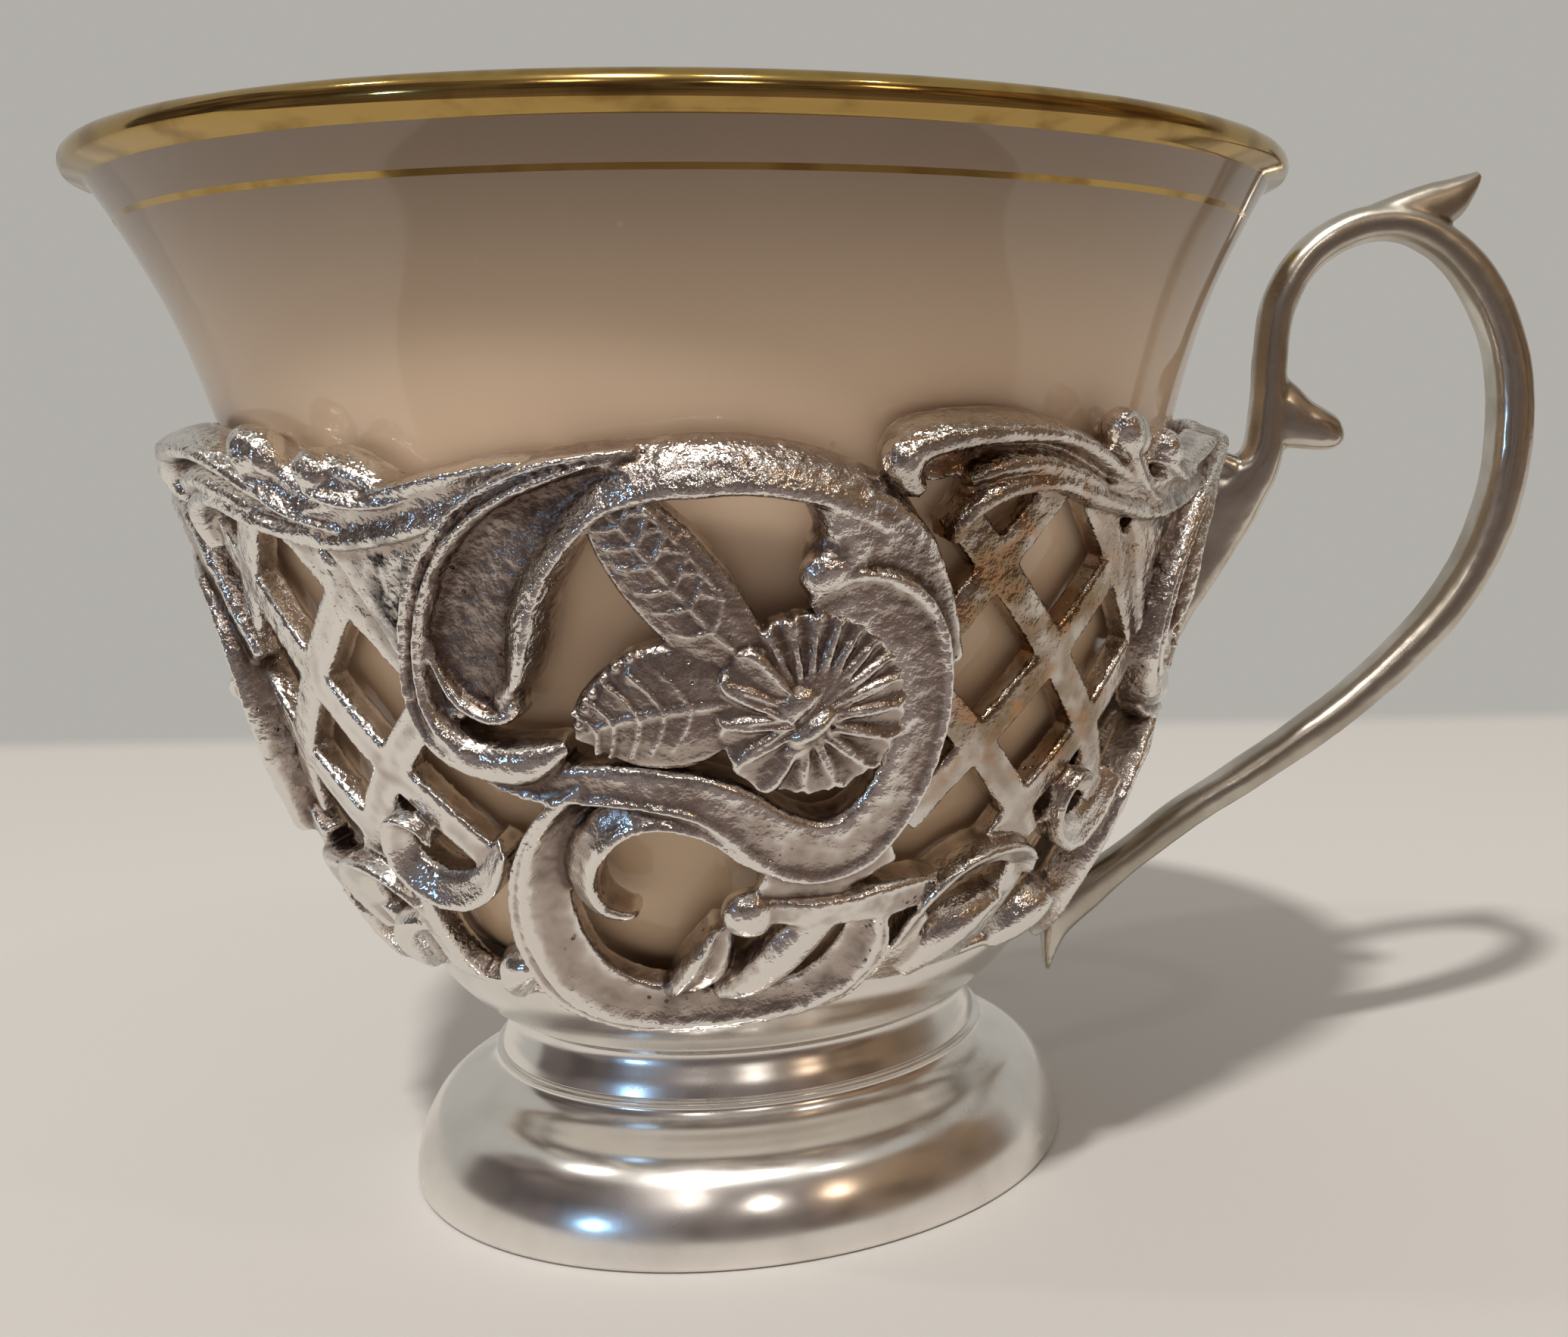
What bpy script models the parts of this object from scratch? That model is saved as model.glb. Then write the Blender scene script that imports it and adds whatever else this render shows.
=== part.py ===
"""Demitasse cup: a porcelain liner in a footed silver holder of cast scrollwork.

The ornament is drawn flat on one quarter of the holder, as (angle in degrees, height in
percent of the castings' height), wrapped on to the bowl and repeated four times.
"""
import math

import bmesh
import bpy
from mathutils import Vector

OBJECT_NAME = "demitasse_cup_with_holder"

# Porcelain liner, in metres
RIM_RADIUS = 0.0350
LINER_HEIGHT = 0.0474
LINER_WALL = 0.0018
LIP_ROUND = 0.0007
BASE_RADIUS = 0.0122
BOWL_RADIUS = 0.0186
BOWL_RISE = 0.0050
BELLY_RADIUS = 0.0235
BELLY_RISE = 0.0147
WAIST_RADIUS = 0.0265
WAIST_RISE = 0.0266
FLARE_RADIUS = 0.0295
FLARE_DROP = 0.0103
LIP_RADIUS = 0.0326
LIP_DROP = 0.0037

# Spun foot, neck ring and base dish
FOOT_RADIUS = 0.0200
FOOT_HEIGHT = 0.0076
FOOT_WALL = 0.0011
FOOT_BEAD_RADIUS = 0.0160
FOOT_BEAD_HEIGHT = 0.0010
NECK_RADIUS = 0.0150
NECK_HEIGHT = 0.0021
NECK_WALL = 0.0014
NECK_WAIST = 0.0004
DISH_DEPTH = 0.0023
DISH_FLOOR = 0.0012

# Castings
QUARTERS = 4
PATTERN_TURN = -5.5
CASTING_RISE = 0.0024
CASTING_HEIGHT = 0.0324
RELIEF = 0.0032
TRELLIS_THICKNESS = 0.0012
CREST_RELIEF = 0.0029
LINER_GAP = 0.0006
SEAM = 0.0003
STAGGER = 0.00002

# Widths of the ornament's bands
UPPER_SCROLL_WIDTH = 0.0058
RING_WIDTH = 0.0026
LOWER_SCROLL_WIDTH = 0.0026
CURL_WIDTH = 0.0012
STRUT_WIDTH = 0.0020
PLATE_WIDTH = 0.0032
LOBE_WIDTH = 0.0027
TRELLIS_BAR = 0.0021
CREST_WIDTH = 0.0026
SMALL_SCROLL_WIDTH = 0.0018
BEAD_RADIUS = 0.0017
CREST_BEAD_RADIUS = 0.0012
LEAF_WIDTH = 0.0040
FLOWER_RADIUS = 0.0043
PETALS = 9

# Handle
HANDLE_REACH = 0.0536
HANDLE_THICKNESS = 0.0025
HANDLE_BREADTH = 0.0034
UPPER_JOINT_HEIGHT = 92.3
LOWER_JOINT_HEIGHT = 1.5

TURNING_STEPS = 32

# Heights that follow from the sizes above
NECK_Z = FOOT_HEIGHT + SEAM
DISH_Z = NECK_Z + NECK_HEIGHT + SEAM
FLOOR_Z = DISH_Z + DISH_DEPTH
LINER_Z = FLOOR_Z + SEAM
RIM_Z = LINER_Z + LINER_HEIGHT

# Depth of the castings' backs, out from the holder's inner face
CASTING_BACK = TRELLIS_THICKNESS + SEAM

SILVER = ((0.72, 0.70, 0.66, 1.0), 0.22, 1.0)
WORN_SILVER = ((0.60, 0.57, 0.53, 1.0), 0.34, 1.0)
PORCELAIN = ((0.86, 0.77, 0.66, 1.0), 0.12, 0.0)


def smooth_line(points, per_span):
    """Catmull-Rom line through points of any number of coordinates."""
    first = [2 * a - b for a, b in zip(points[0], points[1])]
    last = [2 * a - b for a, b in zip(points[-1], points[-2])]
    chain = [first, *points, last]
    line = []
    for before, start, end, after in zip(chain, chain[1:], chain[2:], chain[3:]):
        for step in range(per_span):
            t = step / per_span
            line.append(tuple(
                s + 0.5 * t * (e - b + t * (2 * b - 5 * s + 4 * e - a + t * (3 * (s - e) + a - b)))
                for b, s, e, a in zip(before, start, end, after)))
    line.append(tuple(points[-1]))
    return line


def line_normals(line):
    """Unit normals on the outer side of a (radius, height) line that runs upwards."""
    normals = []
    for i in range(len(line)):
        r0, z0 = line[max(i - 1, 0)]
        r1, z1 = line[min(i + 1, len(line) - 1)]
        length = math.hypot(r1 - r0, z1 - z0)
        normals.append(((z1 - z0) / length, (r0 - r1) / length))
    return normals


def offset_line(line, distance):
    return [(r + nr * distance, z + nz * distance)
            for (r, z), (nr, nz) in zip(line, line_normals(line))]


def liner_line(per_span):
    """Outer side of the liner, from its base to its rim."""
    rises = [(BASE_RADIUS, 0.0), (BOWL_RADIUS, BOWL_RISE), (BELLY_RADIUS, BELLY_RISE),
             (WAIST_RADIUS, WAIST_RISE), (FLARE_RADIUS, LINER_HEIGHT - FLARE_DROP),
             (LIP_RADIUS, LINER_HEIGHT - LIP_DROP), (RIM_RADIUS, LINER_HEIGHT)]
    return [(r, LINER_Z + rise) for r, rise in smooth_line(rises, per_span)]


class Sheet:
    """The drawing of one quarter, wrapped on the bowl that the castings' lips touch."""

    def __init__(self):
        side = liner_line(16)
        self.normals = line_normals(side)
        self.lips = offset_line(side, LINER_GAP + RELIEF)
        self.runs = [0.0]
        for (r0, z0), (r1, z1) in zip(self.lips, self.lips[1:]):
            self.runs.append(self.runs[-1] + math.hypot(r1 - r0, z1 - z0))
        self.start = self.run_at(DISH_Z + CASTING_RISE)
        self.length = self.run_at(DISH_Z + CASTING_RISE + CASTING_HEIGHT) - self.start

    def run_at(self, z):
        for i, (low, high) in enumerate(zip(self.lips, self.lips[1:])):
            if low[1] <= z <= high[1]:
                share = (z - low[1]) / (high[1] - low[1])
                return self.runs[i] + share * (self.runs[i + 1] - self.runs[i])
        raise ValueError("the castings reach past the liner's side")

    def profile(self, height, depth):
        """Radius and height above the table, at a depth outwards from the inner face."""
        run = self.start + self.length * height / 100
        i = 0
        while i < len(self.runs) - 2 and self.runs[i + 1] < run:
            i += 1
        share = (run - self.runs[i]) / (self.runs[i + 1] - self.runs[i])
        (r0, z0), (r1, z1) = self.lips[i], self.lips[i + 1]
        (m0, n0), (m1, n1) = self.normals[i], self.normals[i + 1]
        inward = depth - RELIEF
        return (r0 + (r1 - r0) * share + (m0 + (m1 - m0) * share) * inward,
                z0 + (z1 - z0) * share + (n0 + (n1 - n0) * share) * inward)

    def place(self, angle, height, depth):
        r, z = self.profile(height, depth)
        turn = math.radians(angle + PATTERN_TURN)
        return Vector((r * math.cos(turn), r * math.sin(turn), z))

    def shift(self, spot, right, up):
        """A spot of the drawing moved by lengths measured on the lips' surface."""
        angle, height = spot
        r = self.profile(height, RELIEF)[0]
        return angle + math.degrees(right / r), height + 100 * up / self.length

    def sideways(self, before, after):
        """Unit vector to the left of the way from one spot to another, in lengths."""
        r = self.profile(0.5 * (before[1] + after[1]), RELIEF)[0]
        right = math.radians(after[0] - before[0]) * r
        up = (after[1] - before[1]) * self.length / 100
        length = math.hypot(right, up)
        return -up / length, right / length


def material(name, finish):
    colour, roughness, metallic = finish
    made = bpy.data.materials.new(name)
    made.use_nodes = True
    shader = made.node_tree.nodes["Principled BSDF"]
    shader.inputs["Base Color"].default_value = colour
    shader.inputs["Roughness"].default_value = roughness
    shader.inputs["Metallic"].default_value = metallic
    made.diffuse_color = colour
    return made


def add_object(name, mesh, collection):
    made = bpy.data.objects.new(name, mesh)
    collection.objects.link(made)
    return made


def smooth(mesh, degrees=35):
    mesh.shade_smooth()
    mesh.set_sharp_from_angle(angle=math.radians(degrees))


def turned(name, profile, collection):
    """A solid of revolution about Z, from a profile that runs down its outer side."""
    mesh = bpy.data.meshes.new(name)
    edges = [(i, i + 1) for i in range(len(profile) - 1)]
    mesh.from_pydata([(r, 0.0, z) for r, z in profile], edges, [])
    made = add_object(name, mesh, collection)
    screw = made.modifiers.new("Turn", "SCREW")
    screw.steps = TURNING_STEPS
    screw.render_steps = TURNING_STEPS
    screw.use_merge_vertices = True
    screw.merge_threshold = 0.00001
    screw.use_smooth_shade = True
    return made


def lofted(rings, scratch):
    """A closed solid through rings of equal count, capped at both ends."""
    bm = bmesh.new()
    loops = [[bm.verts.new(co) for co in ring] for ring in rings]
    for low, high in zip(loops, loops[1:]):
        for i in range(len(low)):
            j = (i + 1) % len(low)
            bm.faces.new((low[i], low[j], high[j], high[i]))
    bm.faces.new(loops[0])
    bm.faces.new(loops[-1])
    bmesh.ops.recalc_face_normals(bm, faces=bm.faces)
    mesh = bpy.data.meshes.new("loft")
    bm.to_mesh(mesh)
    bm.free()
    return add_object("loft", mesh, scratch)


def cupped(back, lip):
    """Section of a scroll with two raised lips and a hollow between them."""
    hollow = back + 0.5 * (lip - back)
    return [(-1.0, back), (-0.9, lip), (-0.6, lip), (0.0, hollow), (0.7, lip), (1.0, back)]


def crowned(back, crown):
    """Section of a band with a crown narrower than its back."""
    return [(-1.0, back), (-0.6, crown), (0.6, crown), (1.0, back)]


def ridged(back, ridge):
    """Section of a leaf, with thin edges and a midrib."""
    edge = back + 0.35 * (ridge - back)
    return [(-1.0, back), (-1.0, edge), (0.0, ridge), (1.0, edge), (1.0, back)]


def flat(back, front):
    return [(-1.0, back), (-1.0, front), (1.0, front), (1.0, back)]


def band(sheet, path, width, section, scratch):
    """A band laid on the bowl along (angle, height, share of the width) points."""
    rings = []
    for i, (angle, height, share) in enumerate(path):
        side = sheet.sideways(path[max(i - 1, 0)], path[min(i + 1, len(path) - 1)])
        half = 0.5 * width * share
        ring = []
        for across, depth in section:
            spot = sheet.shift((angle, height), side[0] * half * across, side[1] * half * across)
            ring.append(sheet.place(*spot, depth))
        rings.append(ring)
    return lofted(rings, scratch)


def laid(sheet, bands, back, crown, scratch):
    """Bands laid between two depths, each a stagger inside the one before it."""
    pieces = []
    for number, (path, width, section) in enumerate(bands):
        inset = number * STAGGER
        pieces.append(band(sheet, path, width, section(back + inset, crown - inset), scratch))
    return pieces


def bead(sheet, spot, radius, back, crown, scratch):
    """A flattened ball on the bowl, between two depths."""
    bm = bmesh.new()
    bmesh.ops.create_uvsphere(bm, u_segments=6, v_segments=4, radius=1.0)
    for vert in bm.verts:
        right, up, out = vert.co
        moved = sheet.shift(spot, right * radius, up * radius)
        vert.co = sheet.place(*moved, back + 0.5 * (out + 1.0) * (crown - back))
    bmesh.ops.recalc_face_normals(bm, faces=bm.faces)
    mesh = bpy.data.meshes.new("bead")
    bm.to_mesh(mesh)
    bm.free()
    return add_object("bead", mesh, scratch)


def evaluated_mesh(source, name):
    bpy.context.view_layer.update()
    depsgraph = bpy.context.evaluated_depsgraph_get()
    mesh = bpy.data.meshes.new_from_object(source.evaluated_get(depsgraph))
    mesh.name = name
    return mesh


def discard(pieces):
    for piece in pieces:
        mesh = piece.data
        bpy.data.objects.remove(piece)
        bpy.data.meshes.remove(mesh)


def fused(name, pieces, cutter=None, solver="EXACT"):
    """One mesh from overlapping solids, less a cutter."""
    body = pieces[0]
    for other in pieces[1:]:
        union = body.modifiers.new("Join", "BOOLEAN")
        union.operation = "UNION"
        union.solver = solver
        union.object = other
    if cutter:
        cut = body.modifiers.new("Trim", "BOOLEAN")
        cut.operation = "DIFFERENCE"
        cut.object = cutter
    mesh = evaluated_mesh(body, name)
    discard(pieces)
    smooth(mesh)
    return mesh


def scroll_mesh(sheet, scratch):
    """Cartouche: an upper scroll, a ring for the flower and a lower scroll with a curl."""
    upper = [(18, 89, 0.38), (13.5, 92, 0.38), (7.5, 94, 0.36), (1.5, 95, 0.34), (-4.5, 93.5, 0.45),
             (-10, 90, 0.62), (-15, 84.5, 0.8), (-18.5, 77.5, 0.93), (-20.5, 70, 1.0),
             (-20.8, 60.5, 0.72)]
    ring = [(-25.3, 66, 0.6), (-23.5, 58, 0.75), (-19.5, 53, 0.8), (-13, 51.3, 0.8),
            (-4, 49, 0.75), (3, 46, 0.8), (7.5, 41, 0.95), (11, 38, 1.1), (15.5, 37.5, 1.15),
            (20, 40.5, 1.05), (23.5, 46.5, 1.0), (25.2, 55, 1.0), (25.5, 63.5, 1.0),
            (24, 70.5, 0.9), (21, 75.5, 0.75), (17.5, 77, 0.6)]
    lower = [(-9, 48.5, 0.7), (-14, 44.5, 0.8), (-18, 38, 0.9), (-20.5, 29.5, 1.0),
             (-21.3, 21, 1.05), (-20, 12.5, 1.1), (-16, 6.5, 1.1), (-10.5, 3.9, 1.0),
             (-1, 3.4, 0.87), (9, 3.7, 0.85), (15.5, 6, 0.9), (20.5, 11.5, 0.95),
             (22.7, 19, 0.95), (21, 25.5, 0.9)]
    curl = [(9.5, 37, 1.2), (5.5, 41, 0.9), (1, 44.5, 0.8), (-3.5, 45, 0.8), (-8, 43, 0.9),
            (-11.5, 38.5, 1.0), (-12.7, 34, 1.1), (-11, 30.8, 1.2), (-8.7, 31.5, 1.0)]
    bar = [(22, 25.5, 0.85), (15.5, 26, 0.85), (9, 27, 0.85)]
    knee = [(18.5, 26.5, 1.3), (17.5, 36, 1.3)]
    post = [(15.5, 77, 1.0), (15.2, 82, 0.9), (15.7, 89, 1.1)]
    plate = [(17.5, 88, 1.0), (20.3, 81.5, 1.0), (23.3, 75.5, 1.0), (25.5, 67.5, 0.8)]
    bulb = [(10.5, 25, 0.7), (10.9, 19, 1.0), (9, 13.5, 1.0), (5, 8, 0.7), (-0.5, 5, 0.35)]
    leaf = [(0.7, 22, 0.25), (0.2, 17.5, 0.75), (-1.8, 11.5, 0.85), (-5.5, 6.5, 0.5)]
    bands = [
        (upper, UPPER_SCROLL_WIDTH, cupped), (lower, LOWER_SCROLL_WIDTH, crowned),
        (ring, RING_WIDTH, crowned), (bulb, LOBE_WIDTH, crowned), (curl, CURL_WIDTH, flat),
        (leaf, LOBE_WIDTH, crowned), (post, STRUT_WIDTH, flat), (bar, STRUT_WIDTH, flat),
        (knee, STRUT_WIDTH, flat), (plate, PLATE_WIDTH, flat),
    ]
    pieces = laid(sheet, bands, CASTING_BACK, RELIEF, scratch)
    pieces.append(bead(sheet, (6, 26.5), BEAD_RADIUS, CASTING_BACK + SEAM, RELIEF, scratch))
    return fused("scroll_casting", pieces)


def trellis_mesh(sheet, scratch):
    """Diamond trellis with its crest, its small lower scrolls and the rail they stand on."""
    bars = [
        [(25.5, 65, 1.0), (34, 78, 1.0), (42.5, 92, 1.0)],
        [(25.5, 38.5, 1.0), (34, 50.5, 1.0), (44, 63.5, 1.0), (53.7, 77, 1.0), (58, 83, 1.0)],
        [(41, 31.5, 1.0), (44, 36.5, 1.0), (53.7, 49.5, 1.0), (63, 62, 1.0)],
        [(27.5, 87, 1.0), (34, 78, 1.0), (44, 63.5, 1.0), (53.7, 49.5, 1.0), (63, 36.5, 1.0)],
        [(43.5, 92, 1.0), (53.7, 77, 1.0), (63, 63.5, 1.0)],
        [(25.5, 62, 1.0), (34, 50.5, 1.0), (44, 36.5, 1.0), (48, 30, 1.0)],
    ]
    web = [(55, 89, 0.8), (60, 82, 1.0), (62, 74, 0.8), (63.5, 65, 0.5)]
    rail = [(25, 3, 1.0), (35, 3, 1.0), (46, 3, 1.0), (57, 3, 1.0), (67, 3, 1.0)]
    left_leg = [(30.5, 20, 1.0), (29.5, 11, 1.0), (30, 3, 1.2)]
    middle_leg = [(48, 28, 1.0), (46, 15, 0.9), (42, 3, 1.3)]
    lobe = [(57, 3, 1.0), (60, 9, 1.1), (63.5, 11.5, 0.9)]
    right_scroll = [(30, 18, 0.9), (32.8, 25, 1.0), (37, 29, 1.1), (42, 30, 1.1),
                    (46.5, 28.5, 1.0), (48.5, 25, 0.9)]
    left_scroll = [(64.5, 34.5, 0.8), (61.5, 30.5, 1.0), (57, 29, 1.0), (52.8, 31.5, 1.0),
                   (51, 35.5, 0.9), (53.2, 39.5, 0.9), (56.5, 41, 0.7)]
    arch = [(22.8, 92, 0.9), (26.5, 94, 1.0), (31.5, 95.5, 1.0), (36.5, 96, 0.85),
            (41.5, 94.5, 0.75), (46.5, 91.5, 0.65), (51, 89.5, 0.6), (56, 89, 0.55)]
    acanthus = [(48.5, 97.5, 0.6), (51.5, 94.5, 0.95), (56, 90.5, 0.85), (62, 88.5, 0.35)]
    tuft = [(56.5, 93.5, 0.7), (60, 93, 0.95), (64, 90.5, 0.4)]
    crest = [
        (arch, CREST_WIDTH, crowned), (acanthus, CREST_WIDTH, crowned),
        (tuft, CREST_WIDTH, crowned),
        (right_scroll, SMALL_SCROLL_WIDTH, crowned), (left_scroll, SMALL_SCROLL_WIDTH, crowned),
    ]
    ground = [
        (rail, STRUT_WIDTH, flat), (left_leg, STRUT_WIDTH, flat), (middle_leg, STRUT_WIDTH, flat),
        (lobe, STRUT_WIDTH, flat), (web, PLATE_WIDTH, flat),
    ]
    ground += [(bar, TRELLIS_BAR, flat) for bar in bars]
    pieces = laid(sheet, crest, 0.0, CREST_RELIEF, scratch)
    for spot in ((22.2, 95), (48.2, 97)):
        pieces.append(bead(sheet, spot, CREST_BEAD_RADIUS, SEAM, CREST_RELIEF + STAGGER, scratch))
    pieces += laid(sheet, ground, 0.0, TRELLIS_THICKNESS, scratch)
    return fused("trellis_casting", pieces)


def flower_rings(sheet, centre, back, crown):
    """Rings from the flower's back, over its petals' tips, to the top of its boss."""
    valley = 0.86
    profile = [(0.92, 0.0, 0.0), (1.0, 0.45, 0.25), (0.74, 0.8, 0.35), (0.36, 0.6, 0.45),
               (0.3, 0.85, 0.85), (0.16, 1.0, 1.0)]
    rings = []
    for radius, ridge, groove in profile:
        ring = []
        for i in range(2 * PETALS):
            turn = math.pi * i / PETALS
            reach = FLOWER_RADIUS * radius
            rise = ridge
            if i % 2:
                reach *= valley
                rise = groove
            spot = sheet.shift(centre, reach * math.cos(turn), reach * math.sin(turn))
            ring.append(sheet.place(*spot, back + rise * (crown - back)))
        rings.append(ring)
    return rings


def flower_mesh(sheet, scratch):
    """Open flower with two leaves."""
    upper_leaf = [(-4.6, 88.5, 0.1), (-2.5, 84, 0.75), (0.5, 78.5, 0.95), (3.5, 73.5, 0.9),
                  (7, 68.5, 0.6)]
    lower_leaf = [(-9.8, 55.5, 0.1), (-6, 59, 0.95), (-1, 61.5, 1.3), (4, 62.5, 1.15),
                  (9, 63, 0.8)]
    leaves = [(upper_leaf, LEAF_WIDTH, ridged), (lower_leaf, LEAF_WIDTH, ridged)]
    pieces = laid(sheet, leaves, CASTING_BACK + STAGGER, RELIEF - SEAM, scratch)
    pieces.append(lofted(flower_rings(sheet, (12.7, 62), CASTING_BACK, RELIEF), scratch))
    # The exact solver loses the flower, whose petals and leaves cross at a shallow angle.
    return fused("flower_spray", pieces, solver="MANIFOLD")


def handle_band(sheet, path, scratch, per_span=2):
    """A band in the XZ plane along (out, up, thickness, breadth) points, all in percent.

    Out counts from the line between the two joints to the handle's reach, up from the
    lower joint to the upper one.
    """
    low_r, low_z = sheet.profile(LOWER_JOINT_HEIGHT, RELIEF)
    high_r, high_z = sheet.profile(UPPER_JOINT_HEIGHT, RELIEF)
    span = HANDLE_REACH - high_r
    line = []
    for out, up, thickness, breadth in smooth_line(path, per_span):
        share = min(max(up / 100, 0.0), 1.0)
        x = low_r + (high_r - low_r) * share + span * out / 100
        z = low_z + (high_z - low_z) * up / 100
        line.append((x, z, HANDLE_THICKNESS * thickness / 200, HANDLE_BREADTH * breadth / 200))
    section = [(-1.0, 0.0), (-0.7, -1.0), (0.7, -1.0), (1.0, 0.0), (0.7, 1.0), (-0.7, 1.0)]
    rings = []
    for i, (x, z, thick, broad) in enumerate(line):
        x0, z0 = line[max(i - 1, 0)][:2]
        x1, z1 = line[min(i + 1, len(line) - 1)][:2]
        length = math.hypot(x1 - x0, z1 - z0)
        nx, nz = (z1 - z0) / length, (x0 - x1) / length
        rings.append([(x + nx * thick * u, broad * v, z + nz * thick * u) for u, v in section])
    return lofted(rings, scratch)


def handle_mesh(sheet, scratch, envelope):
    """Cast loop handle with a thumb spur, a top spur and a pointed tail."""
    loop = [(1.5, -14, 10, 15), (3, -8, 45, 40), (5, -2, 90, 65), (11.5, 3.5, 90, 70),
            (21, 10.5, 70, 75), (33.5, 19, 70, 75), (46.5, 27, 70, 80), (59.5, 35, 75, 80),
            (71.5, 43.5, 80, 85),
            (82, 52.5, 85, 90), (90, 63, 90, 90), (95, 74.5, 90, 95), (96, 87, 95, 95),
            (95, 100, 100, 100), (94.5, 113, 100, 100), (91, 125, 95, 95), (84, 136, 90, 95),
            (73.5, 145.5, 90, 90), (59.5, 149.5, 90, 80), (45, 148, 85, 75), (32.5, 142, 80, 75),
            (24.5, 132, 75, 70), (22, 120, 75, 70), (21, 109, 85, 75), (19.5, 98, 105, 75),
            (13, 88.5, 185, 70), (12, 78, 135, 60), (11, 67.5, 80, 45), (11.5, 59.5, 30, 25)]
    tab = [(13, 95.5, 90, 65), (-3, 100, 70, 65)]
    top_spur = [(56.5, 150.5, 75, 70), (68.5, 154, 90, 65), (77.5, 158, 60, 45),
                (84.5, 162, 10, 15)]
    thumb_spur = [(21.5, 111, 85, 65), (31.5, 107, 100, 60), (39, 103, 60, 50),
                  (44, 102.5, 20, 25)]
    pieces = [
        handle_band(sheet, loop, scratch),
        handle_band(sheet, tab, scratch, 1),
        handle_band(sheet, top_spur, scratch, 1),
        handle_band(sheet, thumb_spur, scratch, 1),
    ]
    return fused("handle", pieces, envelope)


def liner_profile():
    """From the inside's centre up to the rim, down the outside and under the base."""
    outside = liner_line(2)
    inside = offset_line(outside, -LINER_WALL)
    floor_z = LINER_Z + LINER_WALL
    well = [(0.0, floor_z), (0.75 * BASE_RADIUS, floor_z)]
    wall = [(r, z) for r, z in inside[1:-1] if z > floor_z]
    rim = [(RIM_RADIUS - 2 * LIP_ROUND, RIM_Z - LIP_ROUND), (RIM_RADIUS - LIP_ROUND, RIM_Z),
           (RIM_RADIUS, RIM_Z - 0.5 * LIP_ROUND)]
    foot_ring = [(BASE_RADIUS - LINER_WALL, LINER_Z),
                 (BASE_RADIUS - 1.5 * LINER_WALL, LINER_Z + 0.3 * LINER_WALL),
                 (0.0, LINER_Z + 0.3 * LINER_WALL)]
    return well + wall + rim + outside[-2::-1] + foot_ring


def dish_profile(sheet):
    """Base dish: a floor for the liner and a thick rim under the castings."""
    edge = -100 * SEAM / sheet.length
    rim_out = sheet.profile(edge, RELIEF)
    rim_in = sheet.profile(edge, 0.0)
    underside = FLOOR_Z - DISH_FLOOR
    knee_r = NECK_RADIUS - NECK_WALL
    shoulder = (0.5 * (rim_out[0] + NECK_RADIUS) + 0.2 * NECK_WALL, 0.5 * (rim_out[1] + DISH_Z))
    top = [(0.0, FLOOR_Z), (BASE_RADIUS + LINER_GAP, FLOOR_Z), rim_in, rim_out]
    bottom = [(NECK_RADIUS, DISH_Z), (knee_r, DISH_Z), (knee_r - DISH_FLOOR, underside),
              (0.0, underside)]
    return top + [shoulder] + bottom


def neck_profile():
    """Short waisted ring between the foot and the dish, as a closed loop."""
    top = NECK_Z + NECK_HEIGHT
    middle = NECK_Z + 0.5 * NECK_HEIGHT
    bore = NECK_RADIUS - NECK_WALL
    return [(bore, NECK_Z), (bore, top), (NECK_RADIUS, top), (NECK_RADIUS - NECK_WAIST, middle),
            (NECK_RADIUS, NECK_Z), (bore, NECK_Z)]


def foot_profile():
    """Spun foot: bead, cove and a full round shoulder over a hollow, as a closed loop."""
    bead_z = FOOT_HEIGHT - 0.5 * FOOT_BEAD_HEIGHT
    cove = FOOT_HEIGHT - 1.2 * FOOT_BEAD_HEIGHT
    shoulder = FOOT_RADIUS - FOOT_BEAD_RADIUS
    outside = [(FOOT_BEAD_RADIUS - 0.5 * FOOT_BEAD_HEIGHT, FOOT_HEIGHT), (FOOT_BEAD_RADIUS, bead_z),
               (FOOT_BEAD_RADIUS - 0.3 * FOOT_BEAD_HEIGHT, cove)]
    corner = cove - 0.04 * shoulder
    outside += smooth_line([(FOOT_BEAD_RADIUS + 0.14 * shoulder, corner),
                            (FOOT_BEAD_RADIUS + 0.52 * shoulder, 0.86 * corner),
                            (FOOT_BEAD_RADIUS + 0.78 * shoulder, 0.62 * corner),
                            (FOOT_BEAD_RADIUS + 0.92 * shoulder, 0.25 * corner),
                            (FOOT_RADIUS, 0.0)], 2)
    bore = NECK_RADIUS - NECK_WALL
    inside = [(FOOT_RADIUS - FOOT_WALL, 0.0),
              (FOOT_BEAD_RADIUS + 0.6 * shoulder - FOOT_WALL, 0.6 * corner),
              (bore, 0.8 * corner), (bore, FOOT_HEIGHT)]
    loop = outside + inside
    return loop + loop[:1]


def envelope_profile(sheet):
    """Solid within the castings' lips and a seam, to trim the handle's joints."""
    levels = [-8, 0, 6, 12, 20, 30, 40, 50, 60, 70, 80, 90, 100, 108]
    side = [sheet.profile(level, RELIEF + SEAM) for level in reversed(levels)]
    return [(0.0, side[0][1]), *side, (0.0, side[-1][1])]


def clear_scene():
    for item in list(bpy.data.objects):
        bpy.data.objects.remove(item)


def new_collection(name):
    made = bpy.data.collections.new(name)
    bpy.context.scene.collection.children.link(made)
    return made


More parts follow.
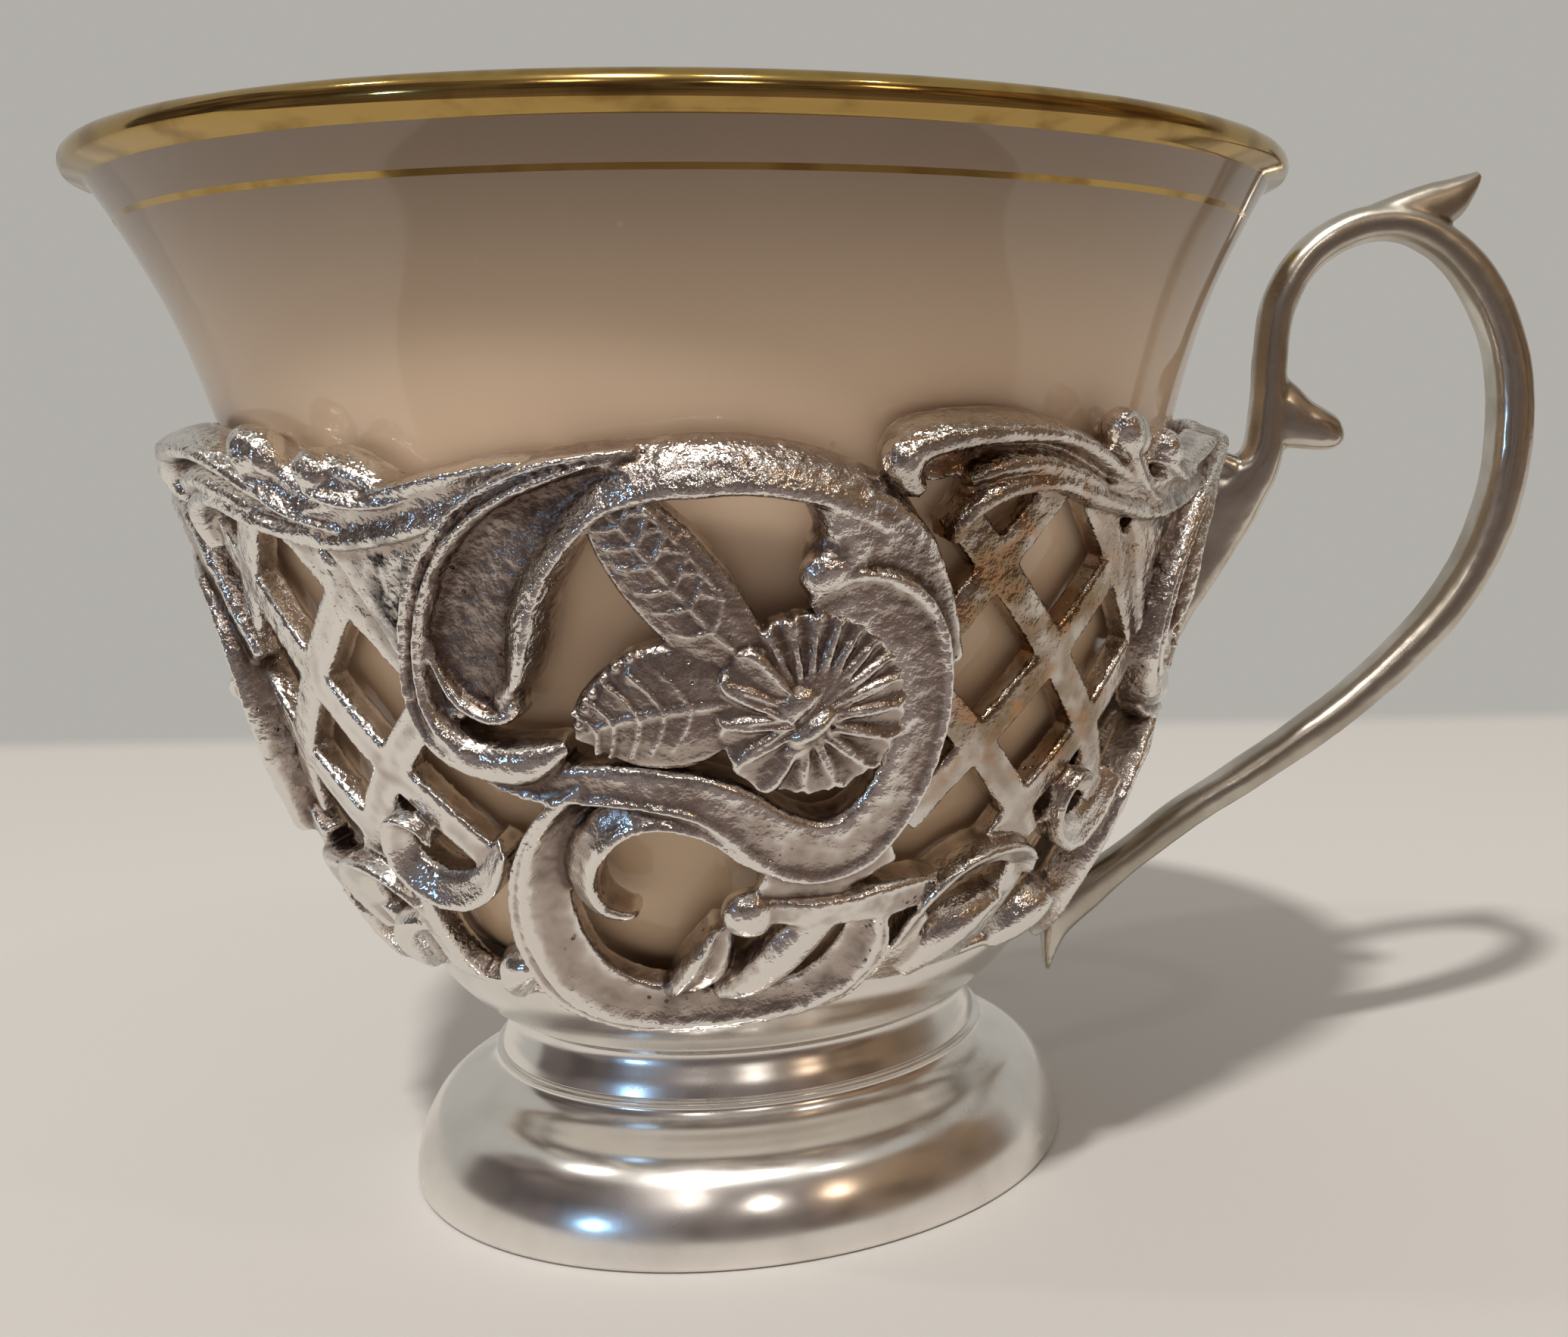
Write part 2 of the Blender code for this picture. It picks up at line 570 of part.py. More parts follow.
def build():
    clear_scene()
    parts = new_collection(OBJECT_NAME)
    cutters = new_collection("cutters")
    sheet = Sheet()
    axis = bpy.data.objects.new("cup_axis", None)
    parts.objects.link(axis)

    liner = turned("porcelain_liner", liner_profile(), parts)
    liner.data.materials.append(material("porcelain_glaze", PORCELAIN))
    dish = turned("base_dish", dish_profile(sheet), parts)
    neck = turned("neck_ring", neck_profile(), parts)
    foot = turned("spun_foot", foot_profile(), parts)
    envelope = turned("castings_envelope", envelope_profile(sheet), cutters)
    envelope.hide_render = True
    envelope.display_type = "WIRE"
    pieces = [liner, dish, neck, foot]
    for piece in (dish, neck, foot):
        piece.data.materials.append(material(piece.name + "_silver", SILVER))

    handle = add_object("handle", handle_mesh(sheet, cutters, envelope), parts)
    handle.data.materials.append(material("handle_silver", SILVER))
    pieces.append(handle)

    castings = {
        "scroll_casting": scroll_mesh(sheet, cutters),
        "trellis_casting": trellis_mesh(sheet, cutters),
        "flower_spray": flower_mesh(sheet, cutters),
    }
    for name, mesh in castings.items():
        mesh.materials.append(material(name + "_silver", WORN_SILVER))
        for quarter in range(QUARTERS):
            casting = add_object(f"{name}_{quarter + 1}", mesh, parts)
            casting.rotation_euler.z = math.radians(360 * quarter / QUARTERS)
            pieces.append(casting)

    # The origin lies under the middle of the cup and its handle together.
    reach = max(vert.co.x for vert in handle.data.vertices)
    axis.location.x = -0.5 * (reach - RIM_RADIUS)
    for piece in pieces + [envelope]:
        piece.parent = axis


build()
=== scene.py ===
import math

import bmesh
import bpy
import numpy as np
from mathutils import Matrix, Vector, noise


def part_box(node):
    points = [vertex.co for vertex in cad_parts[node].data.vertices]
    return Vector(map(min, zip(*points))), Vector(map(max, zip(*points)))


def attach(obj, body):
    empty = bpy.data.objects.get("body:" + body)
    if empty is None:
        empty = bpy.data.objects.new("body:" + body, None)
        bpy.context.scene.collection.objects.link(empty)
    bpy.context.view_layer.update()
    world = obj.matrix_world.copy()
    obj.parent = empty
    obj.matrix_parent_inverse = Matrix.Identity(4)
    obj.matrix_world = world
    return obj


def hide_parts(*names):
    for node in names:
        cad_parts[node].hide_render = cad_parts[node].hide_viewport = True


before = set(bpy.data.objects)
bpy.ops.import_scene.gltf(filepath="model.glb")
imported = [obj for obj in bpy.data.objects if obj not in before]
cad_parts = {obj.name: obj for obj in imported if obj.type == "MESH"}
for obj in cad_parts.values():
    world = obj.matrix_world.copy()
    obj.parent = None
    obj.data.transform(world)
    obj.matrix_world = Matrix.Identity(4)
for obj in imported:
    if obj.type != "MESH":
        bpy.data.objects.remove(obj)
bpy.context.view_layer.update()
mm = 0.001

# the cup's axis and levels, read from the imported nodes
linerLow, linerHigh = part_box("porcelain_liner")
dishLow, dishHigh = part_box("base_dish")
neckLow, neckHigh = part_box("neck_ring")
_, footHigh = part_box("spun_foot")
cupAxis = Vector(((linerLow.x + linerHigh.x) / 2, (linerLow.y + linerHigh.y) / 2, 0))
rimRadius = (linerHigh.y - linerLow.y) / 2


# curves and the drawing on the bowl

def smoothPath(points, perSpan):
    # Catmull-Rom through tuples of any length
    first = tuple(2 * a - b for a, b in zip(points[0], points[1]))
    last = tuple(2 * a - b for a, b in zip(points[-1], points[-2]))
    chain = [first, *points, last]
    path = []
    for p0, p1, p2, p3 in zip(chain, chain[1:], chain[2:], chain[3:]):
        for step in range(perSpan):
            t = step / perSpan
            path.append(tuple(
                b + 0.5 * t * (c - a + t * (2 * a - 5 * b + 4 * c - d + t * (3 * (b - c) + d - a)))
                for a, b, c, d in zip(p0, p1, p2, p3)))
    path.append(tuple(points[-1]))
    return path


bowlCurve = {
    # radius and rise of the liner's outer side, in mm from its base
    "side": [(12.2, 0.0), (18.6, 5.0), (23.5, 14.7), (26.5, 26.6), (29.5, 37.1), (32.6, 43.7), (35.0, 47.4)],
    "crests": 3.8,      # from the liner to the crests of the ornament
    "relief": 3.2,      # from the holder's inner face to those crests
    "footRise": 2.4,    # from the dish's underside to where the drawing starts
    "footRun": 4.1,     # the drawing's height there
    "turn": -5.5,       # degrees from +X to the middle of the first cartouche
}


def bowlLine():
    side = smoothPath(bowlCurve["side"], 24)
    r = np.array([p[0] for p in side])
    z = np.array([p[1] for p in side]) + linerLow.z / mm
    dr, dz = np.gradient(r), np.gradient(z)
    length = np.hypot(dr, dz)
    normal = np.stack([dz / length, -dr / length], 1)
    crest = np.stack([r, z], 1) + normal * bowlCurve["crests"]
    run = np.concatenate([[0], np.cumsum(np.hypot(*np.diff(crest, axis=0).T))])
    start = np.interp(dishLow.z / mm + bowlCurve["footRise"], crest[:, 1], run)
    return {"crest": crest, "normal": normal, "run": run - start + bowlCurve["footRun"]}


bowl = bowlLine()


def bowlSpot(height, depth):
    # radius and z in mm, at a height along the crests and a depth out from the holder's inner face
    inward = depth - bowlCurve["relief"]
    crest = [np.interp(height, bowl["run"], bowl["crest"][:, i]) for i in (0, 1)]
    normal = [np.interp(height, bowl["run"], bowl["normal"][:, i]) for i in (0, 1)]
    return crest[0] + normal[0] * inward, crest[1] + normal[1] * inward


def onBowl(angle, height, depth):
    r, z = bowlSpot(height, depth)
    turn = math.radians(angle + bowlCurve["turn"])
    return Vector((r * math.cos(turn), r * math.sin(turn), z)) * mm + cupAxis


def degreesFor(length, height):
    return math.degrees(length / bowlSpot(height, bowlCurve["relief"])[0])


# mesh helpers

def sweep(rings):
    # one closed bar: the first ring's loop is extruded from ring to ring and both ends are filled
    bm = bmesh.new()
    loop = [bm.verts.new(co) for co in rings[0]]
    edges = [bm.edges.new((loop[i - 1], loop[i])) for i in range(len(loop))]
    for ring in rings[1:]:
        made = bmesh.ops.extrude_edge_only(bm, edges=edges)["geom"]
        fresh = {item for item in made if isinstance(item, bmesh.types.BMVert)}
        grown = []
        for vert, co in zip(loop, ring):
            twin = next(edge.other_vert(vert) for edge in vert.link_edges if edge.other_vert(vert) in fresh)
            twin.co = co
            grown.append(twin)
        loop = grown
        edges = [bm.edges.get((loop[i - 1], loop[i])) for i in range(len(loop))]
    bmesh.ops.holes_fill(bm, edges=[edge for edge in bm.edges if edge.is_boundary])
    bmesh.ops.recalc_face_normals(bm, faces=bm.faces)
    return bm


def bowlBand(path, section, back=0.5, perSpan=6, passInto=None):
    # path: angle, height, width, crest depth and, for two sections, how far it has passed into the second
    # section: across -1 to 1 and rise from back to crest, to which a foot is added at either edge
    line = smoothPath(path, perSpan)
    section, passInto = ([(-1, 0), *points, (1, 0)] for points in (section, passInto or section))
    rings = []
    for i, (angle, height, width, crest, *share) in enumerate(line):
        a, b = line[max(i - 1, 0)], line[min(i + 1, len(line) - 1)]
        right = (b[0] - a[0]) / degreesFor(1, height)
        up = b[1] - a[1]
        length = math.hypot(right, up)
        half = 0.5 * max(width, 0.12)
        ring = []
        for (across, rise), (acrossTo, riseTo) in zip(section, passInto):
            if share:
                across += share[0] * (acrossTo - across)
                rise += share[0] * (riseTo - rise)
            shiftRight = -up / length * half * across
            shiftUp = right / length * half * across
            spot = (angle + degreesFor(shiftRight, height), height + shiftUp)
            ring.append(onBowl(*spot, back + rise * (crest - back)))
        rings.append(ring)
    return sweep(rings)


def bowlKnob(angle, height, radius, back, crest, stretch=1.0, lean=0.0):
    # a rounded knob, drawn out by stretch along a line that leans from the horizontal
    bm = bmesh.new()
    bmesh.ops.create_uvsphere(bm, u_segments=20, v_segments=12, radius=1.0)
    lean = math.radians(lean)
    for vert in bm.verts:
        long, short = vert.co.x * radius * stretch, vert.co.y * radius
        right = long * math.cos(lean) - short * math.sin(lean)
        up = long * math.sin(lean) + short * math.cos(lean)
        spot = (angle + degreesFor(right, height), height + up)
        vert.co = onBowl(*spot, back + 0.5 * (vert.co.z + 1) * (crest - back))
    bmesh.ops.recalc_face_normals(bm, faces=bm.faces)
    return bm


def joined(parts):
    mesh = bpy.data.meshes.new("blank")
    bm = bmesh.new()
    for part in parts:
        part.to_mesh(mesh)
        part.free()
        bm.from_mesh(mesh)
    bm.to_mesh(mesh)
    bm.free()
    return mesh


def fusedCasting(name, parts, voxel, rounds):
    # overlapping bars become one skin, as cast metal, and its steps are smoothed away
    blank = bpy.data.objects.new(name + "Blank", joined(parts))
    bpy.context.scene.collection.objects.link(blank)
    remesh = blank.modifiers.new("Skin", "REMESH")
    remesh.mode = "VOXEL"
    remesh.voxel_size = voxel
    bpy.context.view_layer.update()
    mesh = bpy.data.meshes.new_from_object(blank.evaluated_get(bpy.context.evaluated_depsgraph_get()))
    bpy.data.meshes.remove(blank.data)
    bm = bmesh.new()
    bm.from_mesh(mesh)
    for _ in range(rounds):
        bmesh.ops.smooth_vert(bm, verts=bm.verts, factor=0.5,
                              use_axis_x=True, use_axis_y=True, use_axis_z=True)
    bm.to_mesh(mesh)
    bm.free()
    mesh.name = name
    print(name, "fused,", len(mesh.polygons), "faces")
    return mesh


def meshArrays(mesh):
    co = np.zeros(len(mesh.vertices) * 3)
    mesh.vertices.foreach_get("co", co)
    normal = np.zeros(len(mesh.vertices) * 3)
    mesh.vertices.foreach_get("normal", normal)
    edges = np.zeros(len(mesh.edges) * 2, int)
    mesh.edges.foreach_get("vertices", edges)
    return co.reshape(-1, 3), normal.reshape(-1, 3), edges.reshape(-1, 2)


def roughCast(mesh, grain):
    # small uneven swells of a worn casting, along the normals
    co, normal, _ = meshArrays(mesh)
    swell = np.zeros(len(co))
    for size, height in grain:
        swell += [noise.noise(Vector(p) / (size * mm)) * height for p in co]
    co += normal * swell[:, None] * mm
    mesh.vertices.foreach_set("co", co.ravel())
    mesh.update()


def storeValue(mesh, name, values):
    attribute = mesh.attributes.new(name, "FLOAT", "POINT")
    attribute.data.foreach_set("value", values.astype(np.float32))


def storeRecess(mesh, bright=None, fade=1.0, most=1.0):
    # "recess" is 0 on crests, 0.5 on flats and 1 in hollows, from the mesh against its own smoothed copies;
    # it darkens the silver as tarnish and as painted shade in the hollows; with a bright depth, metal that
    # lies deeper than that counts as a hollow too, painted shade close to the liner, and most is its limit
    co, normal, edges = meshArrays(mesh)
    count = np.bincount(edges.ravel(), minlength=len(co))[:, None] + 1.0
    smooth = co.copy()
    hollow = np.zeros(len(co))
    levels = {4: 0.10, 11: 0.15, 42: 0.30}     # smoothing rounds and the height in mm that counts as full
    for step in range(1, max(levels) + 1):
        total = smooth.copy()
        for axis in range(3):
            total[:, axis] += np.bincount(edges[:, 0], smooth[edges[:, 1], axis], len(co))
            total[:, axis] += np.bincount(edges[:, 1], smooth[edges[:, 0], axis], len(co))
        smooth = total / count
        if step in levels:
            hollow += ((smooth - co) * normal).sum(1) / mm / levels[step]
    recess = 0.5 + 0.25 * hollow
    if bright:
        spot = np.stack([np.hypot(co[:, 0] - cupAxis.x, co[:, 1] - cupAxis.y), co[:, 2]], 1) / mm
        ahead = spot[:, None, :] - bowl["crest"][None, ::4, :]
        nearest = (ahead ** 2).sum(2).argmin(1)
        out = (ahead[np.arange(len(spot)), nearest] * bowl["normal"][::4][nearest]).sum(1)
        # painted shade: metal deeper than the bright depth, near the liner, darkens like a hollow
        recess += fade * np.clip(bright - bowlCurve["relief"] - out, -0.3, 0.6)
    # the hollows of the lower ornament are lighter: painted light from the bright table they face, and less
    # tarnish there
    lowerHollowsLightened = np.clip((co[:, 2] / mm - 8) / 20, 0.6, 1)
    recess = np.where(recess > 0.5, 0.5 + (recess - 0.5) * lowerHollowsLightened, recess)
    storeValue(mesh, "recess", np.clip(recess, 0, most))


def castMesh(name, parts, shape):
    mesh = fusedCasting(name, parts, shape["voxel"], shape["smoothing"])
    roughCast(mesh, shape["grain"])
    storeRecess(mesh, *shape["recess"])
    return mesh


def addPiece(name, mesh, body, nodes, materials):
    piece = bpy.data.objects.new(name, mesh)
    bpy.context.scene.collection.objects.link(piece)
    for i, made in enumerate(materials):
        if i < len(mesh.materials):
            mesh.materials[i] = made
        else:
            mesh.materials.append(made)
    mesh.shade_smooth()
    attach(piece, body)
    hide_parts(*nodes)


def turnedMesh(name, profile, steps):
    # a profile of radius and z in mm, spun about the cup's axis
    bm = bmesh.new()
    verts = [bm.verts.new(Vector((r, 0, z)) * mm + cupAxis) for r, z in profile]
    edges = [bm.edges.new(pair) for pair in zip(verts, verts[1:])]
    bmesh.ops.spin(bm, geom=verts + edges, cent=cupAxis, axis=(0, 0, 1), angle=math.tau, steps=steps,
                   use_merge=True)
    bmesh.ops.remove_doubles(bm, verts=bm.verts, dist=0.002 * mm)
    bmesh.ops.recalc_face_normals(bm, faces=bm.faces)
    mesh = bpy.data.meshes.new(name)
    bm.to_mesh(mesh)
    bm.free()
    return mesh


# materials

def newMaterial(name):
    made = bpy.data.materials.new(name)
    made.use_nodes = True
    tree = made.node_tree
    return made, tree, tree.nodes["Principled BSDF"]


def addNode(tree, kind, **settings):
    node = tree.nodes.new(kind)
    for key, value in settings.items():
        setattr(node, key, value)
    return node


def setInput(tree, socket, value):
    if hasattr(value, "is_output"):
        tree.links.new(value, socket)
    else:
        socket.default_value = value


def noiseAt(tree, scale, detail=3.0, stretch=None):
    place = addNode(tree, "ShaderNodeTexCoord").outputs["Object"]
    if stretch:
        mapping = addNode(tree, "ShaderNodeMapping")
        mapping.inputs["Scale"].default_value = stretch
        tree.links.new(place, mapping.inputs["Vector"])
        place = mapping.outputs["Vector"]
    node = addNode(tree, "ShaderNodeTexNoise")
    node.inputs["Scale"].default_value = scale
    node.inputs["Detail"].default_value = detail
    tree.links.new(place, node.inputs["Vector"])
    return node.outputs["Fac"]


def axisAt(tree, axis):
    split = addNode(tree, "ShaderNodeSeparateXYZ")
    tree.links.new(addNode(tree, "ShaderNodeTexCoord").outputs["Object"], split.inputs["Vector"])
    return split.outputs[axis]


def storedAt(tree, name):
    return addNode(tree, "ShaderNodeAttribute", attribute_name=name).outputs["Fac"]


def cellsAt(tree, scale):
    place = addNode(tree, "ShaderNodeTexCoord").outputs["Object"]
    node = addNode(tree, "ShaderNodeTexVoronoi", feature="F1")
    node.inputs["Scale"].default_value = scale
    tree.links.new(place, node.inputs["Vector"])
    return node.outputs["Distance"]


def remap(tree, value, low, high, lowTo=0.0, highTo=1.0):
    node = addNode(tree, "ShaderNodeMapRange", interpolation_type="SMOOTHSTEP")
    for name, number in (("From Min", low), ("From Max", high), ("To Min", lowTo), ("To Max", highTo)):
        node.inputs[name].default_value = number
    tree.links.new(value, node.inputs["Value"])
    return node.outputs["Result"]


def math2(tree, operation, a, b):
    node = addNode(tree, "ShaderNodeMath", operation=operation)
    setInput(tree, node.inputs[0], a)
    setInput(tree, node.inputs[1], b)
    return node.outputs["Value"]


def mixColour(tree, factor, a, b, blend="MIX"):
    node = addNode(tree, "ShaderNodeMix", data_type="RGBA", blend_type=blend)
    setInput(tree, node.inputs["Factor"], factor)
    setInput(tree, node.inputs[6], a)
    setInput(tree, node.inputs[7], b)
    return node.outputs[2]


def bumpFrom(tree, height, distance, strength=1.0, under=None):
    node = addNode(tree, "ShaderNodeBump")
    setInput(tree, node.inputs["Strength"], strength)
    node.inputs["Distance"].default_value = distance
    tree.links.new(height, node.inputs["Height"])
    if under:
        tree.links.new(under, node.inputs["Normal"])
    return node.outputs["Normal"]


def wireShader(tree, shader, colour, roughness, normal, metallic=1.0):
    shader.inputs["Metallic"].default_value = metallic
    for name, value in (("Base Color", colour), ("Roughness", roughness), ("Normal", normal)):
        tree.links.new(value, shader.inputs[name])


castSilverLook = {
    "bright": (0.86, 0.83, 0.79, 1),
    "dull": (0.50, 0.43, 0.385, 1),
    # the hollows' dark tone: tarnish, and painted shade
    "tarnish": (0.155, 0.110, 0.090, 1),
    "soot": (0.05, 0.045, 0.045, 1),
    "film": (0.27, 0.19, 0.115, 1),
    "copper": (0.48, 0.26, 0.13, 1),
    "hammerSize": 1500, "hammerDepth": 0.28 * mm,
    "grainSize": 4800, "grainDepth": 0.045 * mm,
    "pitSize": 1900, "pitDepth": 0.06 * mm,
    "smooth": 22 * mm, "beaten": 42 * mm,     # heights where the hammering starts and is full
}


def castSilver(name, stainedAndShaded):
    look = castSilverLook
    made, tree, shader = newMaterial(name)
    recess = storedAt(tree, "recess")
    uneven = math2(tree, "MULTIPLY_ADD", noiseAt(tree, 420, 4), 0.34)
    uneven.node.inputs[2].default_value = -0.17
    # tarnish and painted shade: the recess value, with some noise, darkens hollows and deep-lying metal
    tarnishAndShade = math2(tree, "ADD", recess, uneven)
    colour = mixColour(tree, remap(tree, tarnishAndShade, 0.36, 0.60), look["bright"], look["dull"])
    colour = mixColour(tree, remap(tree, tarnishAndShade, 0.56, 0.90), colour, look["tarnish"])
    soot = remap(tree, noiseAt(tree, 900, 3), 0.38, 0.58, 0.0, 1.6)
    soot = math2(tree, "MULTIPLY", storedAt(tree, "soot"), soot)
    colour = mixColour(tree, soot, colour, look["soot"])
    # a real copper-brown stain, made larger and darker as painted shade for the shadowed table this trellis
    # mirrors
    if stainedAndShaded:
        stainAndShade = storedAt(tree, "stainAndShade")
        film = math2(tree, "MULTIPLY", stainAndShade, remap(tree, noiseAt(tree, 500, 4), 0.30, 0.62, 0.5, 1.15))
        colour = mixColour(tree, film, colour, look["film"])
        blotch = math2(tree, "MULTIPLY", stainAndShade, remap(tree, noiseAt(tree, 600, 5), 0.47, 0.68, 0.0, 0.8))
        colour = mixColour(tree, blotch, colour, look["copper"])
    # scattered casting pits
    pits = remap(tree, cellsAt(tree, look["pitSize"]), 0.12, 0.26, 1.0, 0.0)
    pits = math2(tree, "MULTIPLY", pits, remap(tree, noiseAt(tree, 300, 3), 0.54, 0.64))
    pits = math2(tree, "MULTIPLY", pits, remap(tree, recess, 0.42, 0.58))
    colour = mixColour(tree, math2(tree, "MULTIPLY", pits, 0.8), colour, look["soot"])
    handled = remap(tree, axisAt(tree, "Z"), look["smooth"], look["beaten"], 0.2, 0.75)
    hammer = bumpFrom(tree, noiseAt(tree, look["hammerSize"], 3), look["hammerDepth"], handled)
    grain = bumpFrom(tree, noiseAt(tree, look["grainSize"], 2), look["grainDepth"], 0.7, hammer)
    hole = bumpFrom(tree, pits, look["pitDepth"], under=grain)
    hole.node.invert = True
    wireShader(tree, shader, colour, remap(tree, tarnishAndShade, 0.30, 0.85, 0.12, 0.33), hole)
    return made


polishedSilverLook = {
    "bright": (0.88, 0.855, 0.815, 1),
    "dull": (0.62, 0.58, 0.54, 1),
    "smudge": 160, "scratch": 2600, "scratchDepth": 0.0012 * mm,
    "wave": 130, "waveDepth": 0.10 * mm,
}


def polishedSilver(name, tarnish):
    look = polishedSilverLook
    made, tree, shader = newMaterial(name)
    smudge = noiseAt(tree, look["smudge"], 5)
    colour = mixColour(tree, remap(tree, smudge, 0.42, 0.72, 0.0, tarnish), look["bright"], look["dull"])
    wave = bumpFrom(tree, noiseAt(tree, look["wave"], 1), look["waveDepth"], 0.35)
    scratch = noiseAt(tree, look["scratch"], 2, (0.25, 0.25, 1.0))
    scratch = bumpFrom(tree, scratch, look["scratchDepth"], 0.5, wave)
    wireShader(tree, shader, colour, remap(tree, smudge, 0.35, 0.75, 0.18, 0.32), scratch)
    return made


handleLook = {
    "bright": (0.68, 0.64, 0.57, 1),
    "dull": (0.46, 0.415, 0.345, 1),
    "tarnish": (0.16, 0.125, 0.10, 1),
    "cloud": 150, "grainSize": 900, "grainDepth": 0.05 * mm,
}


def handleSilver():
    look = handleLook
    made, tree, shader = newMaterial("handleSilver")
    cloud = noiseAt(tree, look["cloud"], 5)
    colour = mixColour(tree, remap(tree, cloud, 0.36, 0.66), look["bright"], look["dull"])
    # tarnish and painted shade in the handle's hollows, from the recess value
    colour = mixColour(tree, remap(tree, storedAt(tree, "recess"), 0.54, 0.80), colour, look["tarnish"])
    grain = bumpFrom(tree, noiseAt(tree, look["grainSize"], 3), look["grainDepth"], 0.4)
    wireShader(tree, shader, colour, remap(tree, cloud, 0.30, 0.70, 0.20, 0.34), grain)
    return made


porcelainLook = {
    # tones from low to high on the outer side, and the paler inside; on the outer side the darker amber low
    # tone and the dark top tone are painted shade
    "outside": [(0.74, 0.55, 0.375, 1), (0.93, 0.725, 0.535, 1), (0.24, 0.185, 0.14, 1)],
    "inside": [(0.80, 0.65, 0.49, 1), (0.84, 0.70, 0.54, 1), (0.80, 0.66, 0.51, 1)],
    "speck": (0.55, 0.42, 0.30, 1),
    "lightens": (28 * mm, 44 * mm), "darkens": (42 * mm, 60 * mm),     # heights between the tones
    "depth": 1.2 * mm,      # how far light gets under the glaze
}


def porcelainGlaze(side):
    look = porcelainLook
    low, middle, top = look[side]
    made, tree, shader = newMaterial(side + "Glaze")
    height = axisAt(tree, "Z")
    # painted shade: the outer glaze is darker and amber low down behind the holder, and dark under the rim
    colour = mixColour(tree, remap(tree, height, *look["lightens"]), low, middle)
    colour = mixColour(tree, remap(tree, height, *look["darkens"]), colour, top)
    cloud = remap(tree, noiseAt(tree, 55, 3), 0.40, 0.70, 0.0, 0.10)
    colour = mixColour(tree, cloud, colour, look["speck"])
    specks = remap(tree, cellsAt(tree, 240), 0.03, 0.05, 0.35, 0.0)
    colour = mixColour(tree, specks, colour, look["speck"])
    shader.inputs["IOR"].default_value = 1.5
    shader.inputs["Subsurface Weight"].default_value = 0.12
    shader.inputs["Subsurface Radius"].default_value = (1.0, 0.6, 0.35)
    shader.inputs["Subsurface Scale"].default_value = look["depth"]
    roughness = remap(tree, noiseAt(tree, 90, 4), 0.35, 0.75, 0.05, 0.11)
    wireShader(tree, shader, colour, roughness, bumpFrom(tree, noiseAt(tree, 70, 2), 0.05 * mm, 0.25), 0.0)
    return made


# painted shade: both gold tones are darker than clean gold, for the dark room the rim mirrors; the noise
# between them is wear
shadedGildingLook = {"bright": (0.46, 0.31, 0.10, 1), "worn": (0.30, 0.185, 0.055, 1)}


def rimGilding():
    look = shadedGildingLook
    made, tree, shader = newMaterial("rimGilding")
    wear = noiseAt(tree, 300, 4)
    colour = mixColour(tree, remap(tree, wear, 0.45, 0.70), look["bright"], look["worn"])
    roughness = remap(tree, wear, 0.30, 0.75, 0.07, 0.20)
    wireShader(tree, shader, colour, roughness, bumpFrom(tree, noiseAt(tree, 500, 3), 0.02 * mm, 0.3))
    return made


# porcelain liner

linerShape = {
    "wall": 1.8, "lip": 0.85, "steps": 160,
    "bandLow": 58.46, "lineLow": 56.27, "lineHigh": 56.57,    # gilding, mm above the table
    "bandInside": 1.3,
}


def linerMesh():
    shape = linerShape
    base, top = linerLow.z / mm, linerHigh.z / mm
    outside = [(r, z + base) for r, z in smoothPath(bowlCurve["side"], 10)]
    outside = [p for p in outside if p[1] < top - 1.75 * shape["lip"]]
    rs, zs = zip(*outside)
    for level in (shape["lineLow"], shape["lineHigh"], shape["bandLow"]):
        outside.append((float(np.interp(level, zs, rs)), level))
    outside.sort(key=lambda p: p[1])
    wallR = np.array([p[0] for p in outside])
    wallZ = np.array([p[1] for p in outside])
    dr, dz = np.gradient(wallR), np.gradient(wallZ)
    length = np.hypot(dr, dz)
    inside = list(zip(wallR - dz / length * shape["wall"], wallZ + dr / length * shape["wall"]))
    floor = base + shape["wall"]
    inside = [p for p in inside if floor + 0.6 < p[1] < top - 0.9 * shape["lip"]]
    rimOut = rimRadius / mm - 0.02
    lip = shape["lip"]
    bead = []
    for step in range(13):
        turn = math.radians(-38 + 206 * step / 12)
        bead.append((rimOut - lip + lip * math.cos(turn), top - lip + lip * math.sin(turn)))
    reach = inside[0][0]
    well = [(0.0, floor), (0.55 * reach, floor), (0.85 * reach, floor + 0.25)]
    foot = [(outside[0][0] - 1.0, base), (outside[0][0] - 1.9, base), (outside[0][0] - 2.6, base + 0.6),
            (0.0, base + 0.6)]
    profile = well + inside + bead[::-1] + outside[::-1] + foot
    mesh = turnedMesh("linerShell", profile, shape["steps"])
    for _ in range(3):
        mesh.materials.append(None)
    innerBand = top - shape["bandInside"]
    for face in mesh.polygons:
        z = face.center.z / mm
        radius = (face.center - cupAxis).xy.length / mm
        outer = radius > np.interp(z, wallZ, wallR) - 0.5 * shape["wall"]
        if outer:
            gilded = z > shape["bandLow"] or shape["lineLow"] < z < shape["lineHigh"]
        else:
            gilded = z > innerBand
        plain = 0 if outer else 2
        face.material_index = 1 if gilded else plain
    return mesh


addPiece("linerShell", linerMesh(), "liner", ["porcelain_liner"],
         [porcelainGlaze("outside"), rimGilding(), porcelainGlaze("inside")])
print("liner turned")


# spun foot, neck and dish

footShape = {"bore": 13.6, "steps": 160}


